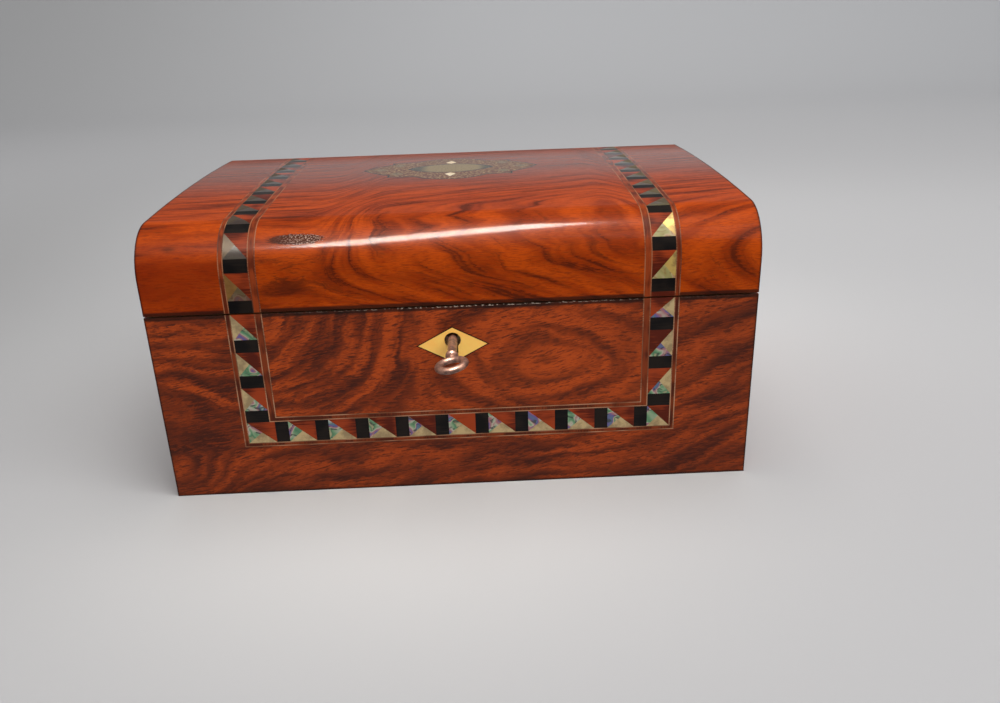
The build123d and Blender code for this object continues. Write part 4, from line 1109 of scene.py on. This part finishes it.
# %% [markdown]
# ## Floor, backdrop and light
# The box was photographed on a pale sweep of paper. A floor that curves up behind gives the same
# even tone with no horizon. The paper's grey is set by its place, as painted light and shade:
# painted light in front of the box, beside it, behind it and up the wall, painted shade far off
# on the left, and a painted shadow left of the box, because a single grey would need hot light on
# the box.

# %% Lay the floor
def sweep_profile(front, depth, rise, bend, steps):
    """Floor, quarter bend and wall as (y, z) points."""
    profile = [(front, 0.0), (depth - bend, 0.0)]
    for step in range(1, steps + 1):
        angle = step / steps * math.pi / 2
        profile.append((depth - bend + bend * math.sin(angle), bend - bend * math.cos(angle)))
    return profile + [(depth, rise)]


profile = sweep_profile(front=-3.0, depth=2.6, rise=3.0, bend=1.2, steps=24)
floor_half_width = 3.5
points = [(side * floor_half_width, y, z) for y, z in profile for side in (-1, 1)]
faces = [(2 * i, 2 * i + 1, 2 * i + 3, 2 * i + 2) for i in range(len(profile) - 1)]
floor = make_mesh_object("floor", points, faces)
floor_finish = Finish("floor_paper", {"Roughness": 0.9, "Specular IOR Level": 0.1})
x, y, z = floor_finish.place()
# painted light: a pool of paler grey in front of the box
near_grey = floor_finish.mix(
    floor_finish.hill(x, y, (-30, -145), (150, 95)), (0.415, 0.415, 0.424), (0.555, 0.553, 0.550)
)
# painted shade: the paper far off laid darker towards the left
far_grey = floor_finish.mix(
    floor_finish.soft_step(x, -1300, 300), (0.455, 0.455, 0.455), (0.575, 0.580, 0.590)
)
# painted light: further back and up the wall the paper is laid paler
grey = floor_finish.mix(floor_finish.soft_step(y, 500, 2200), near_grey, far_grey)
# painted shadow: darker grey on the floor left of the box
shade = floor_finish.hill(x, y, (-500, 180), (250, 500))
# painted light: paler grey beside the box and behind it
beside = floor_finish.hill(x, y, (0, 110), (240, 150)) * 0.38
behind = floor_finish.hill(x, y, (50, 450), (450, 230)) * 0.12
grey = floor_finish.mix(beside + behind, grey, (0.95, 0.95, 0.94))
floor_finish.surface_from(Base_Color=floor_finish.mix(shade * 0.30, grey, (0.06, 0.06, 0.05)))
floor.data.materials.append(floor_finish.material)
print("floor faces:", len(faces))

# %% [markdown]
# The box was lit by wide soft light from the viewer's right and from above. Area lights give
# that, where a sun or a point would leave hard shadows. The one above is hidden from reflections,
# because its picture would whiten the top of the lid.

# %% Hang the lights
def hang_light(name, place, aim, size, watts, colour):
    """A soft rectangular light that points at a place."""
    data = bpy.data.lights.new(name, "AREA")
    data.shape = "RECTANGLE"
    data.size, data.size_y = size
    data.energy = watts
    data.color = colour
    light = bpy.data.objects.new(name, data)
    light.location = place
    light.rotation_euler = (Vector(aim) - Vector(place)).to_track_quat("-Z", "Y").to_euler()
    bpy.context.scene.collection.objects.link(light)
    return light


box_middle = (0, 0, 0.07)
hang_light(
    "side_window", (1.3, -1.2, 1.7), box_middle,
    size=(1.9, 1.6), watts=38.0, colour=(1.0, 0.98, 0.96),
)
ceiling = hang_light(
    "ceiling", (0.1, 0.25, 2.0), box_middle,
    size=(1.6, 1.2), watts=22.0, colour=(1.0, 0.97, 0.93),
)
ceiling.visible_glossy = False
print("soft lights hung: side window and ceiling")

# %% [markdown]
# The bright line on the lid's shoulder climbs from left to right. On a rounded edge that is the
# picture of a long narrow lamp that runs from above the viewer's left to behind the box. It only
# has to be seen in the polish, so it gives no light of its own to the room.

# %% Hang the long lamp
lamp_front, lamp_back = Vector((-0.348, -0.978, 1.33)), Vector((0.165, -0.084, 1.33))
lamp_width = 0.15
lamp_run = lamp_back - lamp_front
long_lamp = hang_light(
    "long_lamp", (lamp_front + lamp_back) / 2, box_middle,
    size=(lamp_width, lamp_run.length), watts=150.0, colour=(1.0, 0.94, 0.83),
)
long_lamp.rotation_euler = (0, 0, math.atan2(-lamp_run.x, lamp_run.y))
long_lamp.visible_diffuse = False
print("long lamp in metres:", round(lamp_run.length, 2))

# %% [markdown]
# The rest is the light of the room itself: a pale grey from everywhere, slightly blue, and weak
# enough to leave the shadow under the box.

# %% Light the room
room_colour, room_strength = (0.80, 0.82, 0.86, 1), 0.5
world = bpy.data.worlds.new("room")
world.use_nodes = True
background = world.node_tree.nodes["Background"]
feed(world.node_tree, background, {"Color": room_colour, "Strength": room_strength})
bpy.context.scene.world = world
print("lights hung")
